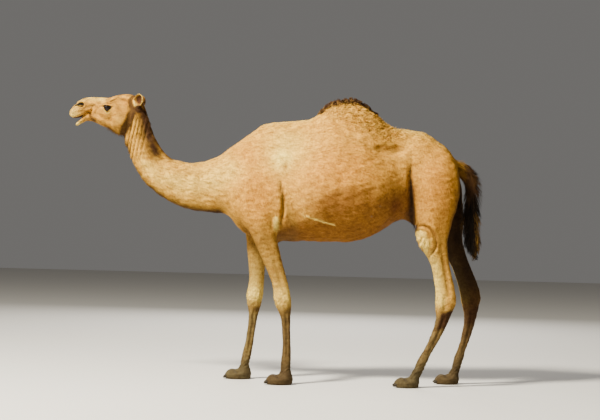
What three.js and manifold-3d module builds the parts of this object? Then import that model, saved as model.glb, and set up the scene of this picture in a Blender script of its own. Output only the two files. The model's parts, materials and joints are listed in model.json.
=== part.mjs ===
// A life-size one-humped camel (dromedary), standing square to the side with its head raised.
// Millimetres, +Z up, standing on Z = 0. The camel faces -X and its left side is towards -Y.
// The flesh is lofted whole from body, head and limb sections, and is then parted with thin cuts
// into the parts that a person would name.
import * as THREE from 'three';
import { mergeVertices } from 'three/addons/utils/BufferGeometryUtils.js';
import Module from 'manifold-3d';

const wasm = await Module();
wasm.setup();

// ---------------------------------------------------------------- driving dimensions
const SIZE = {
  humpTop: 1980, // highest point of the hump's wool
  withers: 1804, // back over the shoulders
  belly: 970, // lowest line of the belly
  trackFore: 168, // half the distance between the middles of the forefeet
  trackHind: 162,
  footHeight: 112,
  eyeRadius: 23,
  cut: 0.6, // width of the thin cuts between parts
};

const SIDES = [
  { name: 'left', y: -1 },
  { name: 'right', y: 1 },
];

// ---------------------------------------------------------------- meshes and solids

// Rings of points, all with the same count, closed by a fan at both ends, facing outwards.
function closedRings(rings) {
  const n = rings[0].length;
  const points = rings.flat();
  const middle = (ring) => ring.reduce((sum, p) => sum.add(p), new THREE.Vector3()).divideScalar(n);
  points.push(middle(rings[0]), middle(rings[rings.length - 1]));
  const first = points.length - 2;
  const last = points.length - 1;
  const index = [];
  for (let i = 0; i < n; i++) {
    const j = (i + 1) % n;
    index.push(first, j, i);
    for (let k = 0; k < rings.length - 1; k++) {
      const here = k * n;
      const next = here + n;
      index.push(here + i, here + j, next + j, here + i, next + j, next + i);
    }
    const end = (rings.length - 1) * n;
    index.push(last, end + i, end + j);
  }
  let volume = 0;
  for (let t = 0; t < index.length; t += 3) {
    const [a, b, c] = [points[index[t]], points[index[t + 1]], points[index[t + 2]]];
    volume += a.dot(b.clone().cross(c)) / 6;
  }
  if (volume < 0) index.reverse();
  const geometry = new THREE.BufferGeometry().setFromPoints(points);
  geometry.setIndex(index);
  return geometry;
}

function solidOf(geometry) {
  const bare = geometry.clone();
  bare.deleteAttribute('normal');
  bare.deleteAttribute('uv');
  const merged = mergeVertices(bare, 1e-3);
  return new wasm.Manifold(new wasm.Mesh({
    numProp: 3,
    vertProperties: merged.attributes.position.array,
    triVerts: new Uint32Array(merged.index.array),
  }));
}

function geometryOf(solid) {
  const mesh = solid.getMesh();
  const geometry = new THREE.BufferGeometry();
  geometry.setAttribute('position', new THREE.BufferAttribute(mesh.vertProperties, 3));
  geometry.setIndex(new THREE.BufferAttribute(mesh.triVerts, 1));
  geometry.computeVertexNormals();
  return geometry;
}

function largest(solid) {
  return solid.decompose().sort((a, b) => b.volume() - a.volume())[0];
}

// ---------------------------------------------------------------- lofts

// A section stands between its points "top" and "low" [x, z] in the side view. It is "side" wide to
// each side at the share "wide" of its depth from "low", and "crown" and "keel" say how full its
// two halves are: 2 is an ellipse, less is pointed and more is square.
const SECTION = { y: 0, wide: 0.5, crown: 2, keel: 2 };

function splineOf(values) {
  return new THREE.CatmullRomCurve3(values.map((v) => new THREE.Vector3(...v)), false, 'catmullrom', 0.5);
}

function ringAt(top, low, side, y, wide, crown, keel, sides) {
  const middle = low.clone().lerp(top, wide);
  const ring = [];
  for (let i = 0; i < sides; i++) {
    const angle = (2 * Math.PI * i) / sides;
    const up = Math.cos(angle);
    const across = Math.sin(angle);
    const power = 2 / (up > 0 ? crown : keel);
    const reach = Math.abs(up) ** power;
    const point = middle.clone().lerp(up > 0 ? top : low, reach);
    point.y = y + side * Math.sign(across) * Math.abs(across) ** power;
    ring.push(point);
  }
  return ring;
}

// Swellings and hollows: points within about "reach" of "at" move by "push".
function shaped(point, swellings) {
  for (const { at, reach, push } of swellings) {
    const far = Math.hypot((point.x - at[0]) / reach[0], (point.y - at[1]) / reach[1], (point.z - at[2]) / reach[2]);
    if (far < 2.5) point.addScaledVector(new THREE.Vector3(...push), Math.exp(-far * far));
  }
  return point;
}

const bothSides = (list) => list.flatMap((s) => SIDES.map(({ y }) => (
  { at: [s.at[0], s.at[1] * y, s.at[2]], reach: s.reach, push: [s.push[0], s.push[1] * y, s.push[2]] })));

// Rings through every station, with "steps" rings from one to the next. "grown" makes it larger all
// round, to leave a gap where it is cut out of its neighbour.
function loft(stations, { sides, steps = 1, swellings = [], grown = 0 }) {
  const full = stations.map((s) => ({ ...SECTION, ...s }));
  const tops = splineOf(full.map((s) => [s.top[0], 0, s.top[1]]));
  const lows = splineOf(full.map((s) => [s.low[0], 0, s.low[1]]));
  const sizes = splineOf(full.map((s) => [s.side, s.y, s.wide]));
  const fullness = splineOf(full.map((s) => [s.crown, s.keel, 0]));
  const rings = (full.length - 1) * steps;
  const made = [];
  for (let k = 0; k <= rings; k++) {
    const t = k / rings;
    const [size, shape] = [sizes.getPoint(t), fullness.getPoint(t)];
    const [top, low] = [tops.getPoint(t), lows.getPoint(t)];
    const out = top.clone().sub(low).setLength(grown);
    const ahead = { 0: -grown, [rings]: grown }[k] ?? 0;
    top.add(out).addScaledVector(tops.getTangent(t), ahead);
    low.sub(out).addScaledVector(lows.getTangent(t), ahead);
    const ring = ringAt(top, low, size.x + grown, size.y, size.z, shape.x, shape.y, sides);
    made.push(ring.map((p) => shaped(p, swellings)));
  }
  return solidOf(closedRings(made));
}

// ---------------------------------------------------------------- neck and trunk

function neckAndTrunk() {
  const neck = [
    { top: [-925, 1895], low: [-1075, 1672], side: 60 },
    { top: [-880, 1767], low: [-1058, 1585], side: 62 },
    { top: [-851, 1692], low: [-1028, 1530], side: 62 },
    { top: [-821, 1631], low: [-989, 1454], side: 64 },
    { top: [-785, 1576], low: [-939, 1365], side: 67 },
    { top: [-736, 1529], low: [-882, 1312], side: 71 },
    { top: [-680, 1507], low: [-812, 1255], side: 77 },
    { top: [-590, 1495], low: [-672, 1182], side: 86, wide: 0.48 },
    { top: [-508, 1508], low: [-545, 1156], side: 98, wide: 0.46, crown: 1.9 },
    { top: [-439, 1537], low: [-445, 1152], side: 112, wide: 0.45, crown: 1.8 },
    { top: [-371, 1573], low: [-368, 1148], side: 132, wide: 0.45, crown: 1.75 },
  ];
  const chest = [
    { top: [-270, 1652], low: [-308, 1110], side: 168, wide: 0.43, crown: 1.7 },
    { top: [-202, 1709], low: [-262, 1052], side: 194, wide: 0.42, crown: 1.65 },
    { top: [-121, 1759], low: [-195, 1003], side: 208, wide: 0.4, crown: 1.6 },
    { top: [3, 1787], low: [-75, SIZE.belly + 6], side: 218, wide: 0.39, crown: 1.58 },
    { top: [140, SIZE.withers], low: [110, SIZE.belly - 4], side: 246, wide: 0.38, crown: 1.55, keel: 2.1 },
  ];
  const barrel = [
    { top: [243, 1831], low: [243, SIZE.belly], side: 276, crown: 1.53 },
    { top: [344, SIZE.humpTop - 40], low: [350, SIZE.belly], side: 292, crown: 1.5 },
    { top: [412, SIZE.humpTop - 10], low: [420, SIZE.belly], side: 298, crown: 1.48 },
    { top: [481, SIZE.humpTop], low: [490, SIZE.belly + 4], side: 300, crown: 1.46 },
    { top: [550, SIZE.humpTop - 12], low: [565, SIZE.belly + 14], side: 298, crown: 1.46 },
    { top: [620, 1924], low: [640, 1006], side: 290, crown: 1.48 },
    { top: [691, 1857], low: [706, 1042], side: 274, crown: 1.52 },
    { top: [762, 1796], low: [768, 1088], side: 250, crown: 1.6 },
    { top: [832, 1767], low: [828, 1126], side: 212, crown: 1.7 },
  ].map((s) => ({ wide: 0.37, keel: 2.2, ...s }));
  const croup = [
    { top: [914, 1766], low: [905, 1150], side: 184, wide: 0.45, crown: 1.8 },
    { top: [1005, 1751], low: [1000, 1168], side: 182, wide: 0.52, crown: 1.8 },
    { top: [1075, 1708], low: [1085, 1190], side: 178, wide: 0.54, crown: 1.85 },
    { top: [1145, 1655], low: [1160, 1240], side: 164, wide: 0.56 },
    { top: [1205, 1596], low: [1215, 1330], side: 124, wide: 0.56 },
    { top: [1236, 1545], low: [1240, 1430], side: 60, wide: 0.56 },
  ];
  const swellings = bothSides([
    { at: [950, 150, 1650], reach: [90, 90, 80], push: [0, 26, 6] }, // hip bone
    { at: [800, 200, 1560], reach: [100, 90, 70], push: [0, -14, 0] }, // hollow of the flank
    { at: [500, 190, 1800], reach: [190, 70, 80], push: [0, -20, -8] }, // foot of the hump
    { at: [30, 150, 1640], reach: [90, 90, 110], push: [0, 12, 0] }, // shoulder blade
    { at: [-150, 190, 1300], reach: [110, 90, 130], push: [0, 14, 0] }, // point of the shoulder
    { at: [330, 300, 1300], reach: [190, 90, 180], push: [0, 10, 0] }, // ribs
  ]);
  return loft([...neck, ...chest, ...barrel, ...croup], { sides: 20, swellings });
}

// The fold of skin that hangs in the groin between the hind legs.
function groinFold() {
  return loft([
    { top: [868, 1235], low: [1010, 1235], side: 70 },
    { top: [884, 1158], low: [1000, 1150], side: 56 },
    { top: [902, 1122], low: [985, 1105], side: 38 },
    { top: [930, 1088], low: [968, 1072], side: 20 },
    { top: [948, 1068], low: [960, 1062], side: 8 },
  ], { sides: 8 });
}

// The horny pad under the breast that the camel lies on.
function chestPad(grown = 0) {
  const pad = new THREE.SphereGeometry(1, 12, 8);
  pad.scale(92 + grown, 72 + grown, 36 + grown);
  pad.rotateY(0.12);
  pad.translate(-48, 0, SIZE.belly + 12);
  return solidOf(pad);
}

// ---------------------------------------------------------------- head

const EYE = [-1177, 76, 1850];

function head() {
  const stations = [
    { top: [-1447, 1824], low: [-1446, 1802], side: 18, wide: 0.45 },
    { top: [-1437, 1843], low: [-1434, 1789], side: 35, wide: 0.42 },
    { top: [-1415, 1871], low: [-1412, 1784], side: 46, wide: 0.42 },
    { top: [-1387, 1899], low: [-1385, 1785], side: 50, wide: 0.45 },
    { top: [-1350, 1921], low: [-1350, 1796], side: 49, wide: 0.48, crown: 2.2 },
    { top: [-1299, 1929], low: [-1303, 1806], side: 50, wide: 0.5, crown: 2.2 },
    { top: [-1257, 1930], low: [-1264, 1776], side: 58, wide: 0.5, crown: 2.2 },
    { top: [-1216, 1928], low: [-1225, 1742], side: 70, wide: 0.55, crown: 2.3 },
    { top: [-1174, 1926], low: [-1186, 1716], side: 80, wide: 0.6, crown: 2.3, keel: 1.9 },
    { top: [-1126, 1945], low: [-1146, 1686], side: 80, wide: 0.58, crown: 2.2, keel: 1.9 },
    { top: [-1075, 1958], low: [-1112, 1668], side: 77, wide: 0.55, crown: 2.1, keel: 1.9 },
    { top: [-1022, 1960], low: [-1078, 1658], side: 74, wide: 0.52 },
    { top: [-968, 1944], low: [-1040, 1660], side: 68, wide: 0.5 },
    { top: [-930, 1905], low: [-1005, 1680], side: 58, wide: 0.5 },
  ];
  const swellings = bothSides([
    { at: [EYE[0], 84, EYE[2]], reach: [56, 60, 42], push: [0, 15, 2] }, // rim of the eye socket
    { at: [-1170, 66, 1920], reach: [60, 50, 30], push: [0, 8, 5] }, // brow
    { at: [-1105, 84, 1900], reach: [40, 50, 28], push: [0, -7, 0] }, // hollow of the temple
    { at: [-1085, 78, 1765], reach: [66, 60, 60], push: [0, 9, 0] }, // jaw muscle
    { at: [-1265, 56, 1838], reach: [44, 40, 34], push: [0, -4, 0] }, // hollow of the cheek
    { at: [-1385, 48, 1852], reach: [44, 40, 34], push: [0, 5, 0] }, // side of the nostril
    { at: [-1345, 44, 1815], reach: [44, 40, 22], push: [0, 6, 0] }, // upper lip
  ]);
  return loft(stations, { sides: 16, steps: 2, swellings });
}

function lowerJaw(grown = 0) {
  return loft([
    { top: [-1404, 1737], low: [-1402, 1728], side: 12 },
    { top: [-1394, 1753], low: [-1388, 1730], side: 28 },
    { top: [-1372, 1775], low: [-1362, 1745], side: 35 },
    { top: [-1342, 1797], low: [-1334, 1762], side: 38 },
    { top: [-1303, 1820], low: [-1300, 1763], side: 44 },
    { top: [-1262, 1822], low: [-1262, 1751], side: 54 },
    { top: [-1222, 1800], low: [-1222, 1733], side: 60 },
    { top: [-1184, 1772], low: [-1186, 1716], side: 58 },
    { top: [-1160, 1750], low: [-1166, 1706], side: 46 },
  ], { sides: 10, grown });
}

// The slit of the nostril on one side of the muzzle.
function nostril(side) {
  const slit = new THREE.SphereGeometry(1, 8, 5);
  slit.scale(26, 16, 6.5);
  slit.rotateY(-0.28);
  slit.translate(-1381, 53 * side.y, 1873);
  return solidOf(slit);
}

function eyeball(side, grown = 0) {
  const ball = new THREE.SphereGeometry(SIZE.eyeRadius + grown, 11, 7);
  ball.translate(EYE[0], EYE[1] * side.y, EYE[2]);
  return solidOf(ball);
}

// A small rounded ear, cupped towards the front and outwards.
function ear(side, grown = 0) {
  const profile = [[0, -6], [20, 0], [29, 14], [38, 36], [39, 56], [31, 76], [15, 90], [0, 95]];
  const leaf = (inset, shift) => {
    const outline = profile.map(([r, z]) => new THREE.Vector2(Math.max(0, r - (r > 0 ? inset : 0)), z));
    const cup = new THREE.LatheGeometry(new THREE.SplineCurve(outline).getPoints(7).map((p, i, all) => (
      new THREE.Vector2(i === 0 || i === all.length - 1 ? 0 : Math.max(p.x, 0.5), p.y))), 9);
    cup.scale(1, 1, 0.5);
    cup.rotateX(Math.PI / 2);
    cup.translate(0, shift, 0);
    return cup;
  };
  const place = (cup) => {
    cup.rotateZ(-0.4);
    cup.rotateX(0.3);
    cup.rotateY(0.2);
    cup.translate(-972, -58, 1868);
    if (side.y > 0) {
      cup.scale(1, -1, 1);
      cup.index.array.reverse();
    }
    return solidOf(cup);
  };
  const outer = place(leaf(-grown, 0));
  return grown ? outer : outer.subtract(place(leaf(6, -13)));
}

// ---------------------------------------------------------------- limbs

// Where each limb's joints stand [x, z] in this pose.
const FORE_POSE = {
  left: [[15, 1650], [-110, 1300], [-92, 1075], [60, 570], [92, 150], [88, 78]],
  right: [[15, 1650], [-115, 1300], [-128, 1075], [-141, 575], [-190, 150], [-214, 78]],
};
const HIND_POSE = {
  left: [[1050, 1650], [1075, 1440], [1072, 1058], [1160, 567], [1028, 195], [968, 86]],
  right: [[1055, 1650], [1088, 1440], [1195, 1058], [1366, 590], [1304, 195], [1262, 86]],
};
const FORE_SPREAD = [78, 128, 148, 156, 161, 167];
const HIND_SPREAD = [84, 122, 146, 140, 152, 160];

// Rows of [joint number and share of the bone below it, front, back, side]: how far the flesh reaches
// from the bones' line, in front of it, behind it and to each side.
const FORE_FLESH = [
  [0, 50, 55, 22], [0.5, 120, 115, 70], [1, 180, 168, 88], [1.5, 166, 152, 88], [2, 106, 112, 76],
  [2.27, 80, 76, 61], [2.43, 70, 70, 55], [2.58, 58, 66, 50], [2.73, 49, 65, 47], [2.84, 51, 64, 49],
  [2.95, 60, 63, 56], [3.05, 57, 60, 56], [3.15, 43, 51, 47], [3.24, 28, 42, 36], [3.4, 24, 38, 29],
  [3.64, 22, 38, 28], [3.86, 29, 38, 33], [4, 37, 38, 41], [4.5, 40, 38, 42], [5, 52, 42, 44],
];
const HIND_FLESH = [
  [0, 108, 80, 34], [0.5, 156, 142, 76], [1, 164, 178, 97], [1.35, 146, 184, 102], [1.6, 140, 168, 98],
  [1.84, 138, 142, 90], [2, 127, 124, 80], [2.1, 116, 104, 72], [2.2, 103, 90, 63], [2.3, 76, 80, 55],
  [2.45, 58, 73, 49], [2.6, 60, 73, 44], [2.75, 62, 78, 40], [2.88, 66, 84, 42], [3, 68, 82, 44],
  [3.1, 59, 64, 42], [3.24, 41, 52, 36], [3.4, 34, 46, 31], [3.67, 29, 37, 28], [3.86, 30, 31, 30],
  [4, 36, 34, 37], [4.5, 38, 36, 39], [5, 48, 40, 42],
];

function limb(side, pose, spread, flesh) {
  const line = splineOf(pose[side.name].map(([x, z], i) => [x, spread[i] * side.y, z]));
  const last = spread.length - 1;
  const stations = flesh.map(([at, front, back, width]) => {
    const here = line.getPoint(at / last);
    const along = line.getTangent(at / last);
    const forward = new THREE.Vector2(along.z, -along.x).normalize();
    return {
      top: [here.x + forward.x * front, here.z + forward.y * front],
      low: [here.x - forward.x * back, here.z - forward.y * back],
      side: width,
      y: here.y,
      crown: 2.1,
      keel: 1.9,
    };
  });
  return loft(stations, { sides: 12 });
}

// Rows of [height, toe, heel, half width] from the heel line, which is 0; the toe is towards -X.
const FORE_FOOT = [
  [0, -192, -6, 82], [8, -201, 0, 89], [28, -201, 2, 90], [50, -176, -2, 81], [80, -130, -12, 60],
  [SIZE.footHeight, -100, -22, 46],
];
const HIND_FOOT = [
  [0, -176, -6, 70], [8, -185, 0, 77], [28, -185, 2, 78], [50, -158, -1, 70], [80, -112, -4, 52],
  [SIZE.footHeight, -84, -2, 42],
];
const HEELS = { fore: { left: 146, right: -147 }, hind: { left: 1002, right: 1306 } };
const TRACKS = { fore: SIZE.trackFore, hind: SIZE.trackHind };
const NOTCH = 20; // depth of the notch between the two toes

function foot(pair, side, rows) {
  const count = 16;
  const [heel, y] = [HEELS[pair][side.name], TRACKS[pair] * side.y];
  const rings = rows.map(([z, toe, back, half]) => {
    const middle = (toe + back) / 2;
    const reach = (back - toe) / 2;
    const low = 1 - z / SIZE.footHeight;
    return Array.from({ length: count }, (_, i) => {
      const angle = (2 * Math.PI * i) / count;
      const forward = Math.max(0, Math.cos(angle));
      const toes = NOTCH * low * Math.exp(-((Math.sin(angle) / 0.2) ** 2)) * (forward > 0 ? 1 : 0);
      const across = Math.sign(Math.sin(angle)) * Math.abs(Math.sin(angle)) ** 0.9;
      const taper = 1 - 0.16 * Math.max(0, -Math.cos(angle));
      return new THREE.Vector3(
        heel + middle - reach * Math.cos(angle) + toes,
        y + half * across * taper,
        z,
      );
    });
  });
  return solidOf(closedRings(rings));
}

// The broad nail on the front of one toe.
function nail(pair, side, toeSide, grown = 0) {
  const cap = new THREE.SphereGeometry(1, 7, 4);
  const half = pair === 'fore' ? 21 : 18;
  cap.scale(22 + grown, half + grown, 17 + grown);
  cap.rotateY(-0.45);
  const rows = pair === 'fore' ? FORE_FOOT : HIND_FOOT;
  const across = rows[2][3] * 0.47 * toeSide;
  cap.translate(HEELS[pair][side.name] + rows[2][1] + 17, TRACKS[pair] * side.y + across, 23);
  return solidOf(cap);
}

// ---------------------------------------------------------------- tail

function dock() {
  return loft([
    { top: [1180, 1590], low: [1150, 1500], side: 52 },
    { top: [1245, 1566], low: [1208, 1484], side: 46 },
    { top: [1294, 1533], low: [1246, 1468], side: 40 },
    { top: [1330, 1490], low: [1280, 1444], side: 35 },
    { top: [1350, 1440], low: [1300, 1415], side: 31 },
    { top: [1357, 1385], low: [1312, 1378], side: 28 },
    { top: [1360, 1320], low: [1319, 1318], side: 25 },
    { top: [1364, 1253], low: [1328, 1252], side: 21 },
    { top: [1369, 1190], low: [1341, 1190], side: 14 },
  ], { sides: 10 });
}

function tailTuft(grown = 0) {
  return loft([
    { top: [1364, 1278], low: [1322, 1276], side: 27 },
    { top: [1369, 1240], low: [1306, 1236], side: 38 },
    { top: [1378, 1184], low: [1303, 1176], side: 42 },
    { top: [1392, 1116], low: [1305, 1106], side: 41 },
    { top: [1399, 1047], low: [1311, 1036], side: 38 },
    { top: [1398, 978], low: [1325, 966], side: 32 },
    { top: [1397, 909], low: [1350, 904], side: 20 },
    { top: [1395, 868], low: [1383, 866], side: 6 },
  ], { sides: 10, grown });
}

// ---------------------------------------------------------------- cutting

const FAR = 4000;

// The space on the side of a plane that its normal points to. "gap" moves its face out.
function beyond(point, normal, gap = 0) {
  const space = new THREE.BoxGeometry(FAR, FAR, FAR);
  space.translate(0, 0, FAR / 2 - gap);
  const turn = new THREE.Quaternion().setFromUnitVectors(
    new THREE.Vector3(0, 0, 1), new THREE.Vector3(...normal).normalize());
  space.applyQuaternion(turn);
  space.translate(...point);
  return solidOf(space);
}

// The box between two corners, "gap" larger on every side.
function within(from, to, gap = 0) {
  const box = new THREE.Box3(new THREE.Vector3(...from), new THREE.Vector3(...to)).expandByScalar(gap);
  const size = box.getSize(new THREE.Vector3());
  const block = new THREE.BoxGeometry(size.x, size.y, size.z);
  block.translate(...box.getCenter(new THREE.Vector3()).toArray());
  return solidOf(block);
}

// The space inside a side-view outline, from "near" to "far" of the middle plane on one side.
function outlined(outline, side, near, far, gap = 0) {
  const middle = outline.reduce((sum, p) => sum.add(new THREE.Vector2(...p)), new THREE.Vector2())
    .divideScalar(outline.length);
  const loop = outline.map(([x, z]) => new THREE.Vector3(x, 0, z));
  const edge = new THREE.CatmullRomCurve3(loop, true).getPoints(outline.length * 3).slice(0, -1).map((p) => {
    const out = new THREE.Vector2(p.x, p.z).sub(middle);
    return out.setLength(out.length() + 1.5 * gap).add(middle);
  });
  const block = new THREE.ExtrudeGeometry(new THREE.Shape(edge), {
    depth: far - near + 2 * gap, bevelEnabled: false, steps: 1 });
  block.rotateX(Math.PI / 2);
  block.translate(0, (side.y < 0 ? -near : far) + gap, 0);
  return solidOf(block);
}

const HUMP_OUTLINE = [
  [240, 1850], [300, 1745], [400, 1690], [520, 1672], [640, 1690], [735, 1745], [775, 1815],
  [730, 2000], [500, 2150], [280, 2000],
];
const SHOULDER_OUTLINE = [
  [-25, 1570], [95, 1420], [100, 1230], [60, 1060], [40, 900],
  [-230, 900], [-330, 1100], [-310, 1290], [-180, 1460],
];
const THIGH_OUTLINE = [
  [1010, 1680], [1170, 1720], [1330, 1560], [1370, 1300], [1380, 1050],
  [900, 1040], [880, 1200], [890, 1400], [930, 1570],
];

// The space that holds one leg below the body: out from "inner", between "front" and "back".
function legSpace(side, inner, front, back, top, gap) {
  const [near, far] = side.y < 0 ? [-700, -inner] : [inner, 700];
  return within([front, near, -50], [back, far, top], gap);
}

function underBody(pair, side, gap) {
  return pair === 'fore'
    ? legSpace(side, 4, -900, 640, 960, gap)
    : legSpace(side, 4, 800, 1900, 1056, gap).add(legSpace(side, 4, 1012, 1900, 1200, gap));
}

// The joint lines across a leg: a point [x, z] on each and the line's slope.
const JOINTS = {
  fore: {
    left: { knee: [[60, 552], 0.06], fetlock: [[95, 104], 0.05] },
    right: { knee: [[-143, 556], -0.08], fetlock: [[-200, 104], -0.1] },
  },
  hind: {
    left: { knee: [[1150, 500], -0.45], fetlock: [[975, 104], -0.2] },
    right: { knee: [[1350, 515], -0.2], fetlock: [[1275, 104], -0.15] },
  },
};

function underJoint([[x, z], slope], gap) {
  return beyond([x, 0, z], [slope, 0, -1], gap);
}

function dividedBody() {
  const nodes = {};
  let rest = neckAndTrunk().add(groinFold()).add(dock()).add(head()).subtract(lowerJaw(SIZE.cut))
    .subtract(tailTuft(SIZE.cut));
  for (const side of SIDES) {
    rest = rest.add(limb(side, FORE_POSE, FORE_SPREAD, FORE_FLESH));
    rest = rest.add(limb(side, HIND_POSE, HIND_SPREAD, HIND_FLESH));
    rest = rest.add(foot('fore', side, FORE_FOOT)).add(foot('hind', side, HIND_FOOT));
    rest = rest.subtract(nostril(side)).subtract(eyeball(side, SIZE.cut)).subtract(ear(side, SIZE.cut));
    nodes[`${side.name}_eye`] = eyeball(side);
    nodes[`${side.name}_ear`] = ear(side);
    for (const pair of ['fore', 'hind']) {
      for (const [toe, toeSide] of [['inner', -side.y], ['outer', side.y]]) {
        nodes[`${side.name}_${pair}_nail_${toe}`] = nail(pair, side, toeSide);
        rest = rest.subtract(nail(pair, side, toeSide, SIZE.cut));
      }
    }
  }
  rest = rest.subtract(chestPad(SIZE.cut));
  nodes.chest_pad = chestPad();
  nodes.lower_jaw = lowerJaw();
  nodes.tail_tuft = tailTuft();

  const take = (name, region) => {
    nodes[name] = largest(rest.intersect(region(0)));
    rest = largest(rest.subtract(region(SIZE.cut)));
  };
  take('tail', (gap) => beyond([1240, 0, 1520], [1, 0, -0.5], gap)
    .intersect(within([1190, -62, 1050], [1500, 62, 1700], gap)));
  take('head', (gap) => beyond([-1010, 0, 1800], [-0.93, 0, 0.37], gap));
  take('neck_upper', (gap) => beyond([-850, 0, 1440], [-0.8, 0, 0.6], gap));
  take('neck_lower', (gap) => beyond([-330, 0, 1380], [-0.985, 0, 0.17], gap));
  take('hump', (gap) => outlined(HUMP_OUTLINE, SIDES[0], -400, 400, gap));
  take('groin_fold', (gap) => within([800, -74, 1000], [1006, 74, 1176], gap));
  for (const side of SIDES) {
    for (const pair of ['fore', 'hind']) {
      const joints = JOINTS[pair][side.name];
      take(`${side.name}_${pair}foot`, (gap) => underJoint(joints.fetlock, gap)
        .intersect(underBody(pair, side, gap)));
      take(`${side.name}_${pair}leg_lower`, (gap) => underJoint(joints.knee, gap)
        .intersect(underBody(pair, side, gap)));
      take(`${side.name}_${pair}leg_upper`, (gap) => (pair === 'fore'
        ? outlined(SHOULDER_OUTLINE, side, 84, 500, gap) : outlined(THIGH_OUTLINE, side, 78, 500, gap))
        .add(underBody(pair, side, gap)));
    }
  }
  return { nodes, rest };
}

const { nodes, rest } = dividedBody();
nodes.trunk = rest;

// ---------------------------------------------------------------- the camel

// Colour of each kind of part, with sand as the coat's own; the last rule that fits a name holds.
const SAND = 0xc99a5e;
const COLOURS = [
  [/head|jaw/, 0xcaa779], [/neck/, 0xd0a468], [/leg_lower/, 0x9a7f5a], [/foot/, 0x76674f],
  [/tail$/, 0x6b4e33], [/tail_tuft/, 0x2e2119], [/groin/, 0x8a5d36], [/chest_pad/, 0x7a6650],
  [/ear$/, 0xa9855a],
  [/eye$/, 0x140d0a], [/nail/, 0x3b332b],
];
const GLOSSY = { eye: 0.08, nail: 0.45 };
const ROUGH = 0.9;

const camel = new THREE.Group();
for (const [name, solid] of Object.entries(nodes)) {
  const color = COLOURS.filter(([rule]) => rule.test(name)).pop()?.[1] ?? SAND;
  const shine = Object.keys(GLOSSY).find((kind) => name.includes(kind));
  const mesh = new THREE.Mesh(geometryOf(solid), new THREE.MeshStandardMaterial({
    color, roughness: GLOSSY[shine] ?? ROUGH, metalness: 0 }));
  mesh.name = name;
  camel.add(mesh);
}

// The origin is the middle of the bounding box, on the floor.
const extent = new THREE.Box3().setFromObject(camel);
const middle = extent.getCenter(new THREE.Vector3());
camel.position.set(-middle.x, -middle.y, -extent.min.z);

const model = new THREE.Group();
model.add(camel);

export default model;
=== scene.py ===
# A one-humped camel (dromedary) standing side on, head raised: one skin over the flesh, a short coat of
# small locks, a woolly hump crest, a tail tuft, wet dark eyes and horn toenails. +Z is up, the camel faces
# -X and its left side is towards -Y. The scene is in metres; the tables of places and widths are in mm.
import json
import math

import bpy
import numpy as np
from mathutils import Matrix, Vector

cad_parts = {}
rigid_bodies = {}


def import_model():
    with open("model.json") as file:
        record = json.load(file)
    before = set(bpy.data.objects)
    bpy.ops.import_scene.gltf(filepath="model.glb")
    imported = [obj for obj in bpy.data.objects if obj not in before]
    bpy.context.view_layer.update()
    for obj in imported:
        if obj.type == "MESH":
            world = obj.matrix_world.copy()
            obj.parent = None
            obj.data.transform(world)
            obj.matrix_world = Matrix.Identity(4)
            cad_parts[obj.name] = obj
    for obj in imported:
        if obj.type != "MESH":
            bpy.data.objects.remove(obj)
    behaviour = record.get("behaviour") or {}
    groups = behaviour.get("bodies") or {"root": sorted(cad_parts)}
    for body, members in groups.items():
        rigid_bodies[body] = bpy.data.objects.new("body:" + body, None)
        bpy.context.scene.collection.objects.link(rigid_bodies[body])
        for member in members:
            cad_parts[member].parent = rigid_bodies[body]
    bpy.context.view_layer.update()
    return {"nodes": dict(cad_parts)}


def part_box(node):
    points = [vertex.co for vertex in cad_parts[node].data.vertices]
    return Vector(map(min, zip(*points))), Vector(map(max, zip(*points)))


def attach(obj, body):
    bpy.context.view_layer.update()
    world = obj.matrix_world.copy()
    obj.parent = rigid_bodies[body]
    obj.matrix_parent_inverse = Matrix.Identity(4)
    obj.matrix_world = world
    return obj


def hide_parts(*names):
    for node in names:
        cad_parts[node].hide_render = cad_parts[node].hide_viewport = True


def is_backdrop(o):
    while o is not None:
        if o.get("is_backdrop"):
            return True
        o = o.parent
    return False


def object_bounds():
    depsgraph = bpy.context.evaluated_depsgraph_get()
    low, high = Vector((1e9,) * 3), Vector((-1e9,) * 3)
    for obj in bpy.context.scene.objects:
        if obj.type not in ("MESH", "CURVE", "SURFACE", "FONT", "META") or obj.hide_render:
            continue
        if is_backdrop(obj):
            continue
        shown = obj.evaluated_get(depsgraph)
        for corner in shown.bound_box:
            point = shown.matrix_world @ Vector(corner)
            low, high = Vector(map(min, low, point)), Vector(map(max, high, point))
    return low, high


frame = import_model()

chance = np.random.default_rng(7)

LEGS = [(side, pair) for side in ("left", "right") for pair in ("fore", "hind")]
LEG_FLESH = [f"{side}_{pair}{part}" for side, pair in LEGS for part in ("leg_upper", "leg_lower", "foot")]
HEAD_FLESH = ["head", "lower_jaw", "left_ear", "right_ear", "left_eye", "right_eye", "neck_upper"]
BODY_FLESH = ["neck_upper", "neck_lower", "trunk", "hump", "groin_fold", "chest_pad", "tail", "tail_tuft"] + LEG_FLESH
SIDES = {"left": -1, "right": 1}


# ------------------------------------------------------------------ hands
def edit(on=True):
    bpy.ops.object.mode_set(mode="EDIT" if on else "OBJECT")


def pick(action="SELECT", of=None):
    """Selects all of the edited mesh, or none of it, then sets what is picked from then on."""
    bpy.ops.mesh.select_all(action=action)
    if of:
        bpy.ops.mesh.select_mode(type=of)


def let_go():
    if bpy.context.object and bpy.context.object.mode != "OBJECT":
        edit(False)
    bpy.ops.object.select_all(action="DESELECT")


def take(*things):
    let_go()
    for thing in things:
        thing.select_set(True)
    bpy.context.view_layer.objects.active = things[0]


def made_here(name):
    """The object that was just made, under its own name."""
    thing = bpy.context.object
    thing.name = thing.data.name = name
    return thing


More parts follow.
